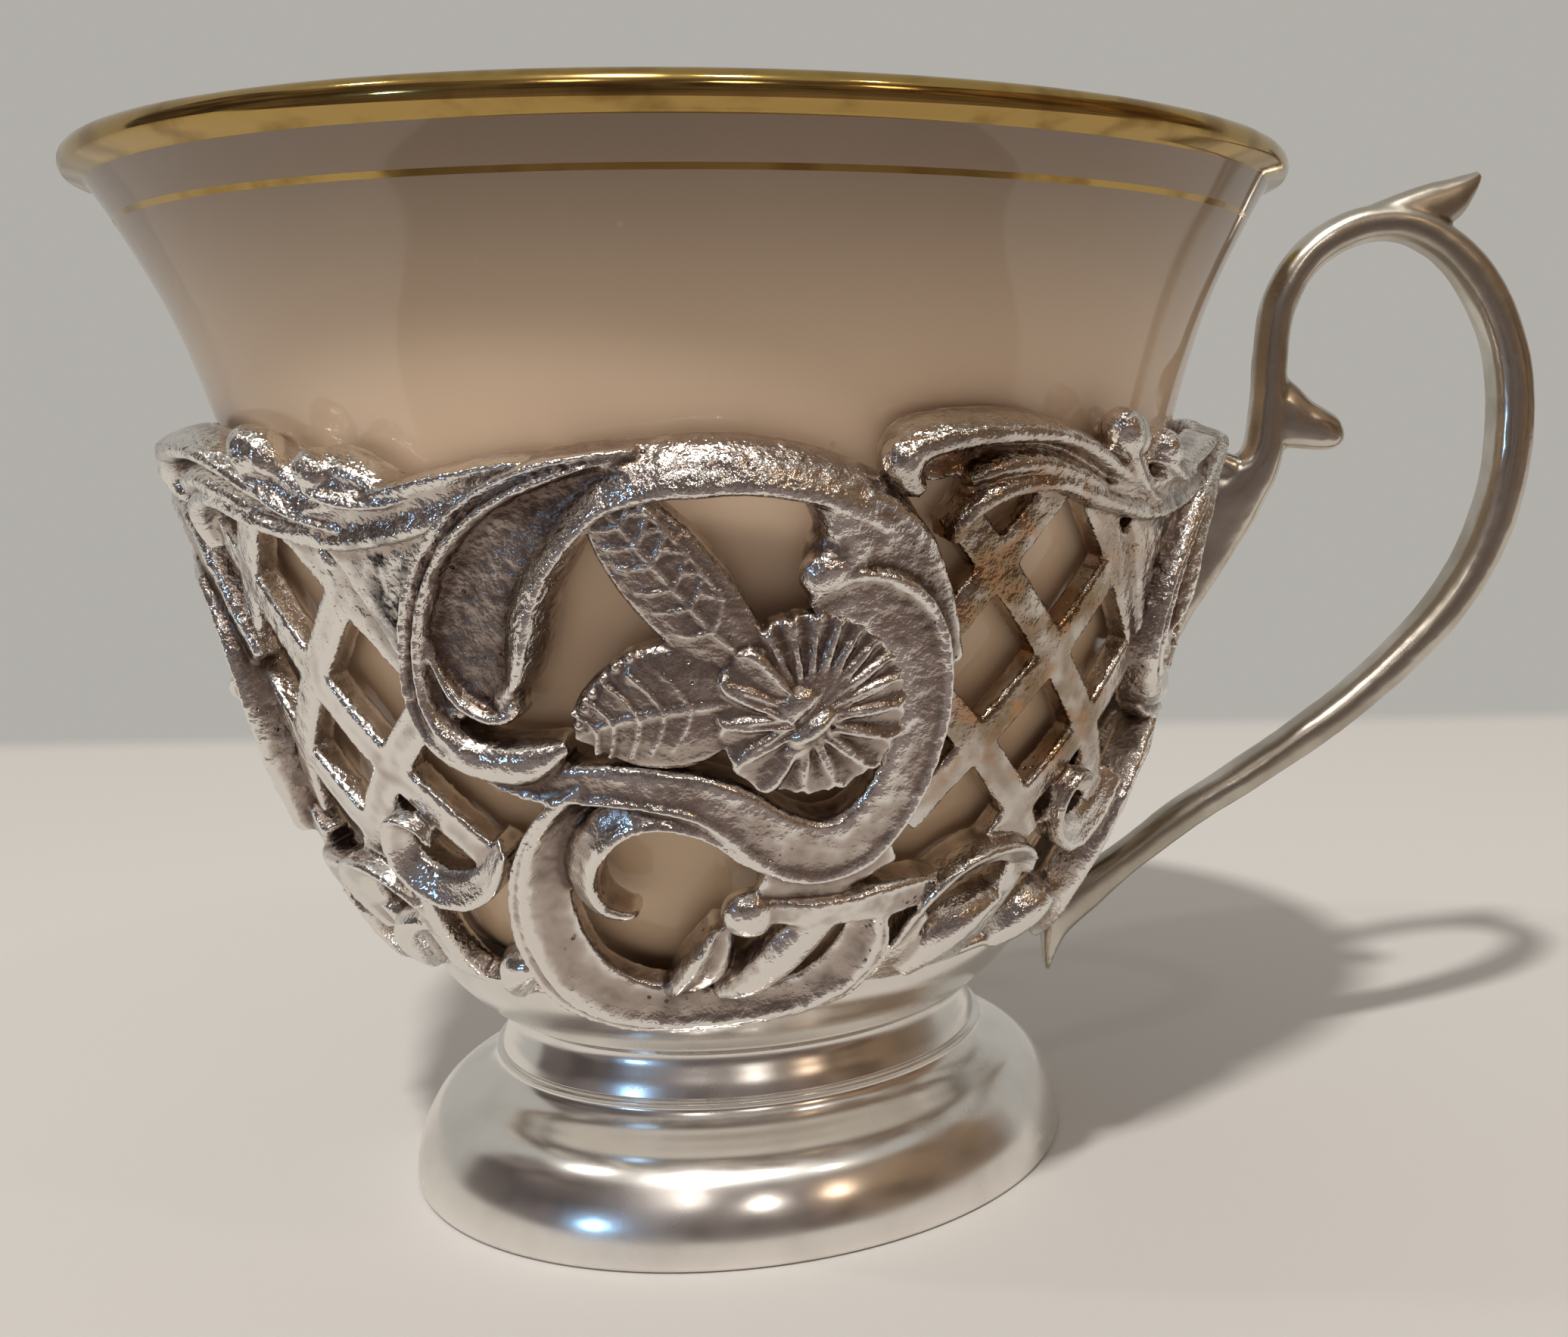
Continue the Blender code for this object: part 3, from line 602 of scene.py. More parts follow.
def footMesh():
    top, bore = footHigh.z / mm, footShape["bore"]
    outside = smoothPath([
        (14.7, top), (14.9, top - 0.05), (15.05, top - 0.18), (15.0, top - 0.33), (14.85, top - 0.45),
        (14.9, top - 0.7), (15.15, top - 1.05), (15.65, top - 1.45), (16.5, top - 1.85), (17.6, top - 2.35),
        (18.5, top - 3.1), (19.15, top - 4.1), (19.6, top - 5.1), (19.85, top - 6.0), (19.95, 0.8),
        (19.98, 0.3)], 6)
    under = [(19.95, 0.08), (19.75, 0.0), (18.95, 0.0), (18.6, 0.3), (17.6, 3.4), (15.8, 4.9), (bore, 5.6),
             (bore, top), (14.7, top)]
    return turnedMesh("spunFoot", outside + under, footShape["steps"])


def neckMesh():
    low, top = neckLow.z / mm - 0.35, neckHigh.z / mm + 0.35
    bore = footShape["bore"]
    outside = smoothPath([
        (14.55, top), (14.2, top - 0.16), (13.98, top - 0.45), (14.02, top - 0.9), (14.25, top - 1.5),
        (14.5, top - 2.1), (14.72, low)], 6)
    return turnedMesh("neckRing", outside + [(bore, low), (bore, top), (14.55, top)], footShape["steps"])


def dishMesh():
    low, top = dishLow.z / mm, dishHigh.z / mm
    floor = linerLow.z / mm - 0.3
    inside = [(0.0, floor), (12.8, floor), (17.2, top - 0.4), (17.9, top)]
    outside = smoothPath([
        (18.35, top), (18.42, top - 0.3), (18.15, top - 1.2), (17.4, top - 2.3), (16.4, top - 3.4),
        (15.4, low + 0.55), (14.8, low + 0.15), (14.5, low)], 6)
    under = [(footShape["bore"], low), (12.4, low + 1.1), (0.0, low + 1.1)]
    return turnedMesh("baseDish", inside + outside + under, footShape["steps"])


brightSilver = polishedSilver("brightSilver", 0.35)
addPiece("spunFoot", footMesh(), "holder", ["spun_foot"], [brightSilver])
addPiece("neckRing", neckMesh(), "holder", ["neck_ring"], [brightSilver])
addPiece("baseDish", dishMesh(), "holder", ["base_dish"], [brightSilver])
print("foot, neck and dish turned")


# scroll castings

scrollShape = {
    "voxel": 0.155 * mm, "smoothing": 4,
    "recess": (2.8, 0.35, 0.86),      # the hollows' bright depth, fade and limit
    "grain": [(2.4, 0.07), (0.9, 0.05), (0.4, 0.02)],     # size and height of the swells
    "rail": [(-1, 0.45), (-0.85, 0.8), (-0.5, 0.97), (0, 1), (0.5, 0.95), (0.85, 0.7), (1, 0.4)],
    "twoRails": [(-1, 0.5), (-0.86, 0.9), (-0.62, 1), (-0.4, 0.92), (-0.18, 0.74), (0.02, 0.76),
                 (0.25, 0.95), (0.5, 1), (0.78, 0.84), (1, 0.45)],
    "beaten": [(-1, 0.5), (-0.86, 0.82), (-0.62, 0.94), (-0.4, 0.98), (-0.18, 1), (0.02, 1), (0.25, 0.98),
               (0.5, 0.95), (0.78, 0.84), (1, 0.55)],
    "brow": [(-1, 0.36), (-0.82, 0.54), (-0.42, 0.75), (0.08, 0.91), (0.5, 1), (0.78, 1), (0.95, 0.88),
             (1, 0.6)],
    "fold": [(-1, 0.12), (-0.72, 0.28), (-0.32, 0.54), (0.1, 0.82), (0.44, 1), (0.58, 1), (0.8, 0.74),
             (1, 0.42)],
    "channel": [(-1, 1), (-0.5, 0.86), (0, 0.8), (0.5, 0.86), (1, 1)],
    "ring": [(-1, 0.72), (-0.94, 0.95), (-0.82, 1), (-0.7, 0.95), (-0.55, 0.86), (0, 0.83), (0.5, 0.82),
             (0.85, 0.78), (1, 0.6)],
    "cup": [(-1, 0.62), (-0.95, 0.92), (-0.86, 1), (-0.74, 0.93), (-0.64, 0.8), (-0.54, 0.92), (-0.42, 1),
            (-0.28, 0.93), (0, 0.74), (0.4, 0.58), (0.8, 0.47), (1, 0.4)],
    "curl": [(-1, 0.5), (-0.6, 0.66), (0, 0.8), (0.5, 0.95), (0.78, 1), (0.93, 0.9), (1, 0.6)],
    "plate": [(-1, 0.8), (-0.85, 0.97), (0, 1), (0.85, 0.97), (1, 0.8)],
    "lobe": [(-1, 0.3), (-0.8, 0.72), (-0.4, 0.95), (0, 1), (0.4, 0.95), (0.8, 0.72), (1, 0.3)],
    "crease": [(-1, 0.6), (-0.75, 0.95), (-0.55, 1), (-0.3, 0.86), (0.1, 0.7), (0.5, 0.72), (0.8, 0.6),
               (1, 0.35)],
}


def scrollParts():
    shape = scrollShape
    # angle, height, width, crest depth and, for fold and rail, how far they have passed into a second section
    fold = [(23.4, 32.6, 1.4, 2.2, 0), (22.8, 33.8, 1.9, 2.5, 0), (20.8, 35, 2.2, 2.8, 0),
            (17.6, 36, 2.3, 3, 0), (13, 36.9, 2.4, 3.1, 0), (8, 37.4, 2.5, 3.2, 0),
            (2.8, 37.5, 2.6, 3.2, 0), (-2, 37.2, 2.6, 3.2, 0.1), (-5.8, 36.4, 2.6, 3.2, 0.4),
            (-9, 35, 2.8, 3.2, 0.85), (-12, 33.2, 3.2, 3.2, 1), (-14.4, 31.2, 3.4, 3.2, 1),
            (-15.6, 29.2, 3.3, 3.2, 1), (-16.4, 27.7, 2.6, 3, 1), (-17.4, 26.7, 1.3, 2.6, 1)]
    rail = [(-2, 38.3, 0.5, 2.3, 0), (-6, 38, 1, 2.9, 0), (-11.4, 37.3, 1.4, 3.2, 0),
            (-16.8, 35.9, 1.5, 3.2, 0), (-21.1, 33.9, 1.6, 3.2, 0), (-24.2, 31.4, 1.6, 3.2, 0),
            (-26, 28.7, 1.6, 3.2, 0), (-26.4, 26.4, 1.7, 3.2, 0.15), (-25.2, 24.6, 2, 3.2, 0.5),
            (-22.6, 23.4, 2.2, 3.1, 0.9), (-19, 22.9, 2.4, 3, 1), (-15, 23.1, 2.1, 2.9, 1),
            (-11.4, 23.9, 0.9, 2.4, 1)]
    channel = [(-2, 37.3, 0.8, 2.6), (-8.5, 36.4, 2.4, 2.5), (-14, 34.7, 4.4, 2.4),
               (-18.2, 32.4, 5.6, 2.3), (-20.6, 29.6, 5.8, 2.3), (-21, 27.3, 5, 2.3),
               (-19.8, 25.8, 3, 2.3)]
    mouth = [(-24.6, 30.5, 0.6, 2.4), (-24.1, 28.4, 0.7, 2.7), (-22.6, 26.6, 0.8, 2.8),
             (-20.2, 25.6, 0.8, 2.8), (-17.4, 25.4, 0.8, 2.7), (-16, 26.2, 0.6, 2.5)]
    ring = [(-22, 22.2, 0.9, 2.2), (-17, 21.7, 1.6, 2.5), (-12, 21.8, 2, 2.8), (-7, 21.8, 2.2, 3),
            (-2.5, 21.5, 2.3, 3.1), (2, 20.9, 2.5, 3.1), (6, 19.7, 2.9, 3.1), (9, 18.4, 3.3, 3.1),
            (12, 17.5, 3.6, 3.1), (15.5, 17.3, 3.6, 3.1), (19, 18, 3.4, 3.1), (22, 19.8, 3.1, 3.1),
            (24, 22.3, 3, 3.1), (24.8, 25, 3.1, 3.1), (24.1, 27.8, 3.5, 3.15), (21.9, 29.8, 3.8, 3.15),
            (18.6, 30.8, 3.4, 3.1), (15.6, 30.9, 2.4, 3), (13.2, 30.3, 1.2, 2.7)]
    lower = [(-10, 21.4, 1, 2.7), (-13.5, 20, 1.7, 2.9), (-16.6, 17.9, 2.4, 3.1), (-18.8, 15, 2.9, 3.2),
             (-19.7, 12, 3.2, 3.2), (-19, 9.2, 3.4, 3.2), (-16.4, 7.2, 3.5, 3.2), (-12.3, 6, 3.2, 3.2),
             (-7.5, 5.5, 2.8, 3.2), (-2, 5.2, 2.4, 3.1), (4, 5.2, 2.1, 3), (10, 5.5, 2, 3),
             (15.5, 6.3, 2.2, 3), (19.8, 7.9, 2.5, 3), (22.3, 10, 2.5, 2.9), (22.2, 12.2, 2, 2.8)]
    curl = [(10, 16.7, 1.6, 2.9), (7, 17.6, 1.7, 3), (4, 18.9, 1.7, 3.1), (0, 19.9, 1.7, 3.1),
            (-4, 20.1, 1.7, 3.1), (-8, 19.5, 1.9, 3.1), (-11, 18.2, 2.1, 3.1), (-12.9, 16.6, 2.1, 3),
            (-13, 15.2, 1.8, 2.9), (-11.9, 14, 1.6, 2.8), (-9.8, 13.4, 1.2, 2.6), (-7.4, 13.3, 0.5, 2.3)]
    bar = [(9, 13.6, 1.6, 2.6), (13, 13.4, 1.7, 2.8), (18, 13.3, 1.9, 2.8), (22.5, 13.4, 2.2, 2.7),
           (26.5, 13.4, 2.2, 2.5), (30.5, 13.4, 1.8, 2.2), (34, 13.8, 1.2, 1.8)]
    knee = [(8, 15.6, 1.6, 2.3), (12, 15, 2, 2.3), (16, 15.2, 2.2, 2.3), (20, 15.8, 2.2, 2.2),
            (24, 16.6, 2, 2)]
    bulb = [(17.5, 13.2, 1.6, 2.7), (15, 12.3, 2.6, 2.9), (12.2, 10.9, 3, 3), (9.2, 9.2, 2.8, 3),
            (5.6, 7.5, 2.1, 2.7), (1.5, 6.2, 1.2, 2.1)]
    leaf = [(3, 12.3, 1.2, 2.6), (1.9, 10.9, 2.2, 3), (0.2, 9.3, 2.8, 3.1), (-2.4, 7.7, 2.4, 2.8),
            (-5.4, 6.4, 1.2, 2.1)]
    web = [(13.4, 36.6, 2, 2.8), (15.8, 35.3, 3, 2.9), (16.8, 33.9, 3.6, 2.9), (16, 32.4, 3.8, 2.85),
           (14.6, 31, 2.6, 2.6)]
    plate = [(16.4, 35.4, 3, 2.85), (18.8, 33.9, 4.6, 2.7), (21.2, 32.2, 5, 2.55), (24.2, 29.8, 4.4, 2.4),
             (27.6, 26.6, 3, 1.9)]
    parts = [bowlBand(rail, shape["twoRails"], passInto=shape["beaten"]),
             bowlBand(fold, shape["brow"], passInto=shape["fold"])]
    drawn = ((channel, "channel"), (mouth, "rail"), (ring, "ring"), (lower, "cup"), (curl, "curl"),
             (bar, "plate"), (knee, "plate"), (bulb, "lobe"), (leaf, "crease"), (web, "lobe"),
             (plate, "plate"))
    for path, section in drawn:
        parts.append(bowlBand(path, shape[section]))
    for knob in ((6.3, 13.4, 1.5, 0.9, 3.15), (-17.2, 26.1, 0.9, 0.8, 2.5),
                 (14.8, 32.3, 1.2, 0.8, 3.1, 1.4, 25)):
        parts.append(bowlKnob(*knob))
    return parts


# flower sprays

flowerShape = {
    "voxel": 0.10 * mm, "smoothing": 2, "recess": (3.1, 0.30, 0.82),
    "grain": [(1.4, 0.05), (0.5, 0.02)], "centre": (12.5, 25.0),
    # direction in degrees, then reach, width and lift in mm
    "petals": [(119, 5, 1.4, -0.1), (105, 5.2, 1.35, -0.1), (91, 5.3, 1.35, -0.1), (78, 5.4, 1.35, -0.1),
               (66, 5.4, 1.35, -0.1), (54, 5.4, 1.35, -0.1), (42, 5.4, 1.4, -0.1), (29, 5.3, 1.5, -0.05),
               (14, 5.2, 1.8, 0), (-6, 5.1, 2.1, 0), (-29, 4.8, 2.1, 0), (-53, 4.4, 2.1, 0),
               (-79, 4.1, 1.9, 0), (-105, 4, 1.9, 0), (-134, 4.3, 2.7, 0.15), (-165, 4.2, 2.5, 0.15),
               (166, 4.3, 2.5, 0.15), (140, 4.7, 2.7, 0.2)],
    "petal": [(-1, 0.74), (-0.88, 0.94), (-0.72, 1), (-0.5, 0.9), (0, 0.82), (0.5, 0.9), (0.72, 1),
              (0.88, 0.94), (1, 0.74)],
    "blade": [(-1, 0.66), (-0.9, 0.82), (-0.5, 0.92), (-0.1, 0.93), (-0.05, 1), (0.05, 1), (0.1, 0.93),
              (0.5, 0.92), (0.9, 0.82), (1, 0.66)],
    "vein": [(-0.6, 0.85), (0, 1), (0.6, 0.85)],
}


def petalBand(direction, reach, width, lift):
    shape = flowerShape
    angle, height = shape["centre"]
    turn = math.radians(direction)
    path = []
    # share of the reach, share of the width, crest depth
    for out, wide, crest in ((0.12, 0.4, 3.05), (0.35, 0.66, 2.95), (0.6, 0.92, 2.95), (0.82, 1.06, 2.92),
                             (0.95, 0.92, 2.84), (1.0, 0.6, 2.7)):
        right, up = reach * out * math.cos(turn), reach * out * math.sin(turn)
        path.append((angle + degreesFor(right, height), height + up, width * wide, crest + lift))
    return bowlBand(path, shape["petal"], 1.3, 3)


def leafParts(path, veins, lift, net):
    # a blade with a midrib, veins that leave it and bend towards the tip, and on one side links between veins
    shape = flowerShape
    parts = [bowlBand(path, shape["blade"], 1.2, 5)]
    line = smoothPath(path, 8)
    ends = []
    for share in veins:
        i = int(share * (len(line) - 1))
        angle, height, width, crest = line[i]
        j = max(i - 3, 0)
        right, up = (line[j][0] - angle) / degreesFor(1, height), line[j][1] - height
        length = math.hypot(right, up) or 1.0
        right, up = right / length, up / length
        for side in (-1, 1):
            vein = []
            for out, along in ((0.0, 0.0), (0.17, 0.08), (0.33, 0.2)):
                x = right * along * width - up * out * width * side
                y = up * along * width + right * out * width * side
                vein.append((angle + degreesFor(x, height), height + y, 0.5, crest + lift - 0.4 * out))
            parts.append(bowlBand(vein, shape["vein"], 1.6, 4))
            if side == net:
                ends.append(vein)
    for here, there in zip(ends, ends[1:]):
        parts.append(bowlBand([here[1], there[2]], shape["vein"], 1.6, 4))
        parts.append(bowlBand([here[2], there[2]], shape["vein"], 1.6, 4))
    return parts


def flowerParts():
    upperLeaf = [(-5.9, 36.5, 1.8, 2.4), (-4.2, 35.3, 3.6, 2.7), (-1.8, 33.6, 4.5, 2.9),
                 (0.9, 31.7, 4.7, 2.9), (3.8, 29.8, 4.2, 2.9), (7, 28, 2.8, 2.7)]
    lowerLeaf = [(-10.5, 24.3, 0.4, 2.4), (-8.3, 24.9, 3.4, 2.7), (-5.2, 25.4, 5.4, 2.9),
                 (-1.5, 25.8, 6.4, 3), (2.5, 26, 6, 2.9), (6.5, 26, 4, 2.7)]
    parts = [petalBand(*petal) for petal in flowerShape["petals"]]
    parts += leafParts(upperLeaf, (0.14, 0.25, 0.36, 0.47, 0.58, 0.69, 0.80), 0.09, -1)
    parts += leafParts(lowerLeaf, (0.24, 0.37, 0.50, 0.63, 0.76), 0.09, 0)
    for angle, height in ((-9.7, 25.1), (-8.9, 26.0), (-7.9, 26.8), (-6.7, 27.5), (-5.4, 28.1), (-4.0, 28.6)):
        parts.append(bowlKnob(angle, height, 0.34, 1.6, 2.85))      # milled edge
    angle, height = flowerShape["centre"]
    parts.append(bowlKnob(angle, height, 3.2, 1.2, 2.8))
    parts.append(bowlKnob(angle, height, 1.5, 1.2, 3.05))
    parts.append(bowlKnob(angle + 0.5, height - 0.4, 0.62, 1.2, 3.5, 2.6, 35))      # ridge across the bud
    parts.append(bowlKnob(angle - 1.2, height + 0.8, 1.05, 1.2, 3.25, 1.5, 35))
    parts.append(bowlKnob(angle - 0.9, height - 1.5, 0.75, 1.2, 3.1, 1.6, 25))
    return parts


# trellis castings

trellisShape = {
    "voxel": 0.17 * mm, "smoothing": 2, "recess": (1.4, 0.25, 0.53), "grain": [(2.5, 0.05), (0.8, 0.03)],
    "bar": 2.05, "front": 1.5, "percent": 0.354,     # width and crest depth; mm for each percent of height
    "stainAndShade": [(32, 31.5, 7.5), (38, 25, 7), (46, 29.5, 5.5), (50, 22, 4)],
    "soot": [(62, 33.2, 1.5), (61.9, 30.8, 1.5), (62.8, 28.6, 1.1), (28, 37.5, 1.5)],
    "flat": [(-1, 0.86), (-0.92, 0.98), (-0.5, 1), (0.5, 1), (0.92, 0.98), (1, 0.86)],
    "dip": [(-1, 0.75), (-0.88, 0.97), (-0.65, 1), (-0.35, 0.88), (0, 0.82), (0.4, 0.88), (0.72, 1),
            (0.9, 0.96), (1, 0.75)],
}


def trellisParts():
    shape = trellisShape
    # angle, and percent of the height between foot and crest
    lattice = [
        [(25.5, 65), (34, 78), (42.5, 92)],
        [(25.5, 38.5), (34, 50.5), (44, 63.5), (53.7, 77), (58, 83)],
        [(41, 31.5), (44, 36.5), (53.7, 49.5), (63, 62)],
        [(27.5, 87), (34, 78), (44, 63.5), (53.7, 49.5), (63, 36.5), (66.5, 31.5)],
        [(43.5, 92), (53.7, 77), (63, 63.5)],
        [(25.5, 62), (34, 50.5), (44, 36.5), (48, 30)],
    ]
    parts = []
    foot = bowlCurve["footRun"]
    for bar in lattice:
        path = [(a, foot + h * shape["percent"], shape["bar"], shape["front"]) for a, h in bar]
        parts.append(bowlBand(path, shape["flat"], 0.1, 5))
    web = [(55, 34.2, 2, 1.8), (58.2, 33.2, 3.4, 1.9), (61.4, 31.2, 4, 1.9), (63.8, 28.5, 3.4, 1.9),
           (65.3, 26, 2, 1.8)]
    webTop = [(58, 34.4, 2, 1.9), (62, 34, 3.4, 1.9), (66, 33.2, 4.2, 1.9), (69.5, 32.6, 3.4, 1.9)]
    rail = [(angle, 4.7, 1.6, 1.6) for angle in (23, 35, 46, 57, 69)]
    archTop = [(23.4, 36, 1.2, 2.5), (21.7, 36.8, 1.8, 2.9), (22.2, 38, 2, 3), (25, 38.6, 1.8, 3),
               (29, 38.9, 1.5, 3), (34, 38.9, 1.3, 3), (38.5, 38.6, 1.1, 2.9), (43, 37.8, 1.1, 2.8),
               (47.5, 36.7, 1.1, 2.7), (52, 35.8, 1, 2.5)]
    archHollow = [(22.6, 37.4, 1.4, 1.7), (25, 37.4, 2.2, 1.6), (29, 37.8, 2.2, 1.5), (34, 37.9, 2, 1.6),
                  (39, 37.4, 1.7, 1.7), (44, 36.5, 1.5, 1.9), (49, 35.5, 1.4, 2)]
    archSwell = [(28.2, 36.4, 1, 2.4), (31.8, 37.1, 1.5, 2.8), (36, 37.2, 1.5, 2.8), (41, 36.6, 1.3, 2.7),
                 (46, 35.7, 1, 2.5)]
    archRail = [(27.4, 33.2, 0.9, 2.2), (28.3, 34.6, 1.3, 2.6), (31, 35.7, 1.4, 2.8), (35, 36.2, 1.3, 2.8),
                (39.5, 36.1, 1.2, 2.8), (44.5, 35.3, 1.2, 2.7), (50, 34.6, 1.2, 2.6), (55, 34.4, 1.1, 2.4)]
    wing = [(46, 35.4, 1.2, 2.2), (51, 34.9, 2, 2.4), (56, 34.9, 2.6, 2.5), (61, 35.2, 2.8, 2.5),
            (66, 35.7, 2.8, 2.5), (71, 36.4, 2.4, 2.5), (76, 37.2, 1.6, 2.5), (81, 37.7, 0.7, 2.4)]
    acanthus = [(47.6, 38.7, 1.3, 2.9), (49.4, 37.7, 2.2, 3.1), (52, 36.5, 2.3, 3), (55, 35.5, 1.5, 2.7),
                (58, 34.9, 0.6, 2.5)]
    tuft = [(54.4, 37.3, 1, 2.6), (56.8, 37.4, 2.2, 3.1), (59.8, 36.9, 2.4, 3.1), (63.2, 36.4, 1.5, 2.8),
            (66.5, 36.4, 0.6, 2.6)]
    rightScroll = [(28.6, 9, 1.4, 2.2), (30.4, 11.6, 1.9, 2.6), (33.4, 13.6, 2.1, 2.8),
                   (37.6, 14.6, 2.1, 2.8), (42.3, 14.7, 2, 2.8), (46.3, 14, 1.7, 2.7),
                   (48.4, 12.6, 1.1, 2.4)]
    leftScroll = [(67.5, 17.6, 1.2, 2.5), (64, 15.5, 1.8, 2.7), (59.8, 14.6, 2, 2.8),
                  (55.6, 14.7, 1.9, 2.8), (52.3, 15.8, 1.7, 2.8), (51.4, 17.3, 1.5, 2.7),
                  (53, 18.5, 1.4, 2.6), (55.6, 18.2, 1, 2.4), (56.6, 17.2, 0.5, 2.2)]
    leftLeg = [(30.3, 11, 2.2, 1.8), (29.5, 8, 2, 1.7), (30, 4.6, 2.4, 1.6)]
    middleLeg = [(48, 14, 1.9, 1.8), (46, 9.4, 1.9, 1.7), (42, 4.6, 2.6, 1.6)]
    lobe = [(55.5, 5, 1.4, 2), (58.5, 7, 2.6, 2.6), (61.5, 8.4, 2.8, 2.7), (64.5, 8.8, 1.8, 2.4),
            (68, 8.6, 0.8, 2.2)]
    bulb = [(32, 6, 1.6, 2.2), (35, 8, 2.8, 2.6), (38.6, 9.8, 2.8, 2.7), (42.5, 10.8, 1.8, 2.4),
            (46, 11, 1, 2)]
    sections = {**scrollShape, **shape}
    drawn = ((web, "flat"), (webTop, "flat"), (rail, "flat"), (archTop, "rail"), (archHollow, "channel"),
             (archSwell, "lobe"), (archRail, "rail"), (wing, "dip"), (acanthus, "crease"), (tuft, "crease"),
             (rightScroll, "curl"), (leftScroll, "curl"), (leftLeg, "flat"), (middleLeg, "flat"),
             (lobe, "lobe"), (bulb, "lobe"))
    for path, section in drawn:
        parts.append(bowlBand(path, sections[section], 0.15))
    for knob in ((21.5, 37.6, 1.15, 0.6, 3.1), (48.0, 38.5, 1.15, 0.6, 3.1, 1.3, -50),
                 (49.8, 38.4, 0.9, 0.6, 2.9, 1.5, -60), (56.6, 37.6, 1.0, 0.6, 3.1, 1.3, -30)):
        parts.append(bowlKnob(*knob))
    return parts


def quarterCopies(name, mesh, nodes, materials):
    for quarter in range(4):
        copy = mesh.copy()
        turn = Matrix.Rotation(math.radians(90 * quarter), 4, "Z")
        copy.transform(Matrix.Translation(cupAxis) @ turn @ Matrix.Translation(-cupAxis))
        number, silver = quarter + 1, [materials[quarter]]
        addPiece(f"{name}{number}", copy, "holder", [f"{nodes}_{number}"], silver)


def storeSpots(mesh, name, spots):
    # soft spots on the trellis, for the stain, which carries painted shade too, and for the soot: angle,
    # height and size in mm
    co, _, _ = meshArrays(mesh)
    film = np.zeros(len(co))
    for angle, height, size in spots:
        far = np.linalg.norm(co - np.array(onBowl(angle, height, 1.5)), axis=1) / mm
        film = np.maximum(film, np.exp(-(far / size) ** 2))
    storeValue(mesh, name, film)


scrollSilver = castSilver("scrollSilver", False)
trellisSilver = castSilver("trellisSilver", False)
stainedShadedSilver = castSilver("stainedShadedTrellisSilver", True)

scrollBlank = castMesh("scrollCasting", scrollParts(), scrollShape)
quarterCopies("scrollCasting", scrollBlank, "scroll_casting", [scrollSilver] * 4)

flowerBlank = castMesh("flowerSpray", flowerParts(), flowerShape)
quarterCopies("flowerSpray", flowerBlank, "flower_spray", [scrollSilver] * 4)

trellisBlank = castMesh("trellisCasting", trellisParts(), trellisShape)
# stain spots, partly real stain and partly painted shade
storeSpots(trellisBlank, "stainAndShade", trellisShape["stainAndShade"])
storeSpots(trellisBlank, "soot", trellisShape["soot"])
quarterCopies("trellisCasting", trellisBlank, "trellis_casting", [trellisSilver] * 3 + [stainedShadedSilver])
print("castings placed")


# handle

handleShape = {
    "voxel": 0.17 * mm, "smoothing": 3, "recess": (), "grain": [(3.0, 0.06), (1.0, 0.02)],
    # out from the cup's axis, up from the table, thickness and breadth, all in mm
    "loop": [(19.8, 9, 0.3, 0.5), (20, 10.6, 1.2, 1.5), (20.6, 12.4, 2.3, 2.4), (22.3, 14, 2.4, 2.7),
             (25.2, 16.1, 2.1, 2.9), (29, 18.7, 2.1, 3), (33, 21, 2.2, 3.1), (36.9, 23.3, 2.3, 3.2),
             (40.7, 25.8, 2.4, 3.3), (44.2, 28.6, 2.5, 3.4), (47.2, 31.6, 2.6, 3.6), (49.6, 35, 2.7, 3.7),
             (51.2, 38.7, 2.8, 3.8), (52, 42.6, 2.9, 3.8), (52.1, 46.4, 2.9, 3.8), (51.4, 50, 2.8, 3.7),
             (49.8, 53.3, 2.7, 3.5), (47.3, 55.9, 2.5, 3.3), (44.2, 57.2, 2.4, 3.1),
             (40.8, 56.8, 2.3, 2.9), (37.9, 55, 2.2, 2.8), (36, 52, 2.2, 2.7), (35.4, 48.5, 2.2, 2.7),
             (35.2, 45.2, 2.4, 2.7), (34.6, 42, 2.8, 2.7), (32.4, 39.4, 4.6, 2.5), (30.9, 36.2, 3.4, 2),
             (29.5, 33, 2, 1.5), (28.7, 30.6, 0.8, 0.8)],
    "tab": [(33.4, 40.8, 2.4, 2.4), (31.6, 41.9, 2, 2.4), (29.6, 42.6, 1.6, 2.4)],
    "topSpur": [(41.5, 57, 2, 2.6), (44.6, 57.7, 3, 2.6), (47.2, 58.5, 3, 2.4), (48.8, 59.5, 1.8, 1.8),
                (49.9, 60.4, 0.5, 0.7)],
    "thumbSpur": [(34.9, 45.4, 5.2, 2.4), (36.2, 44.8, 4.5, 2.5), (37.4, 44.3, 3.5, 2.4),
                  (38.6, 43.9, 2.9, 2.3), (39.4, 43.7, 2.5, 2), (40, 43.6, 1.8, 1.6),
                  (40.4, 43.6, 0.7, 0.7)],
    # share of half the thickness and of half the breadth
    "section": [(-1, 0), (-0.95, -0.48), (-0.74, -0.8), (-0.4, -0.96), (0, -1), (0.4, -0.96), (0.74, -0.8),
                (0.95, -0.48), (1, 0), (0.95, 0.48), (0.74, 0.8), (0.4, 0.96), (0, 1), (-0.4, 0.96),
                (-0.74, 0.8), (-0.95, 0.48)],
}


def handleBand(path):
    line = smoothPath(path, 8)
    rings = []
    for i, (x, z, thick, broad) in enumerate(line):
        a, b = line[max(i - 1, 0)], line[min(i + 1, len(line) - 1)]
        length = math.hypot(b[0] - a[0], b[1] - a[1])
        nx, nz = (b[1] - a[1]) / length, (a[0] - b[0]) / length
        rings.append([Vector((x + nx * thick / 2 * u, broad / 2 * v, z + nz * thick / 2 * u)) * mm + cupAxis
                      for u, v in handleShape["section"]])
    return sweep(rings)


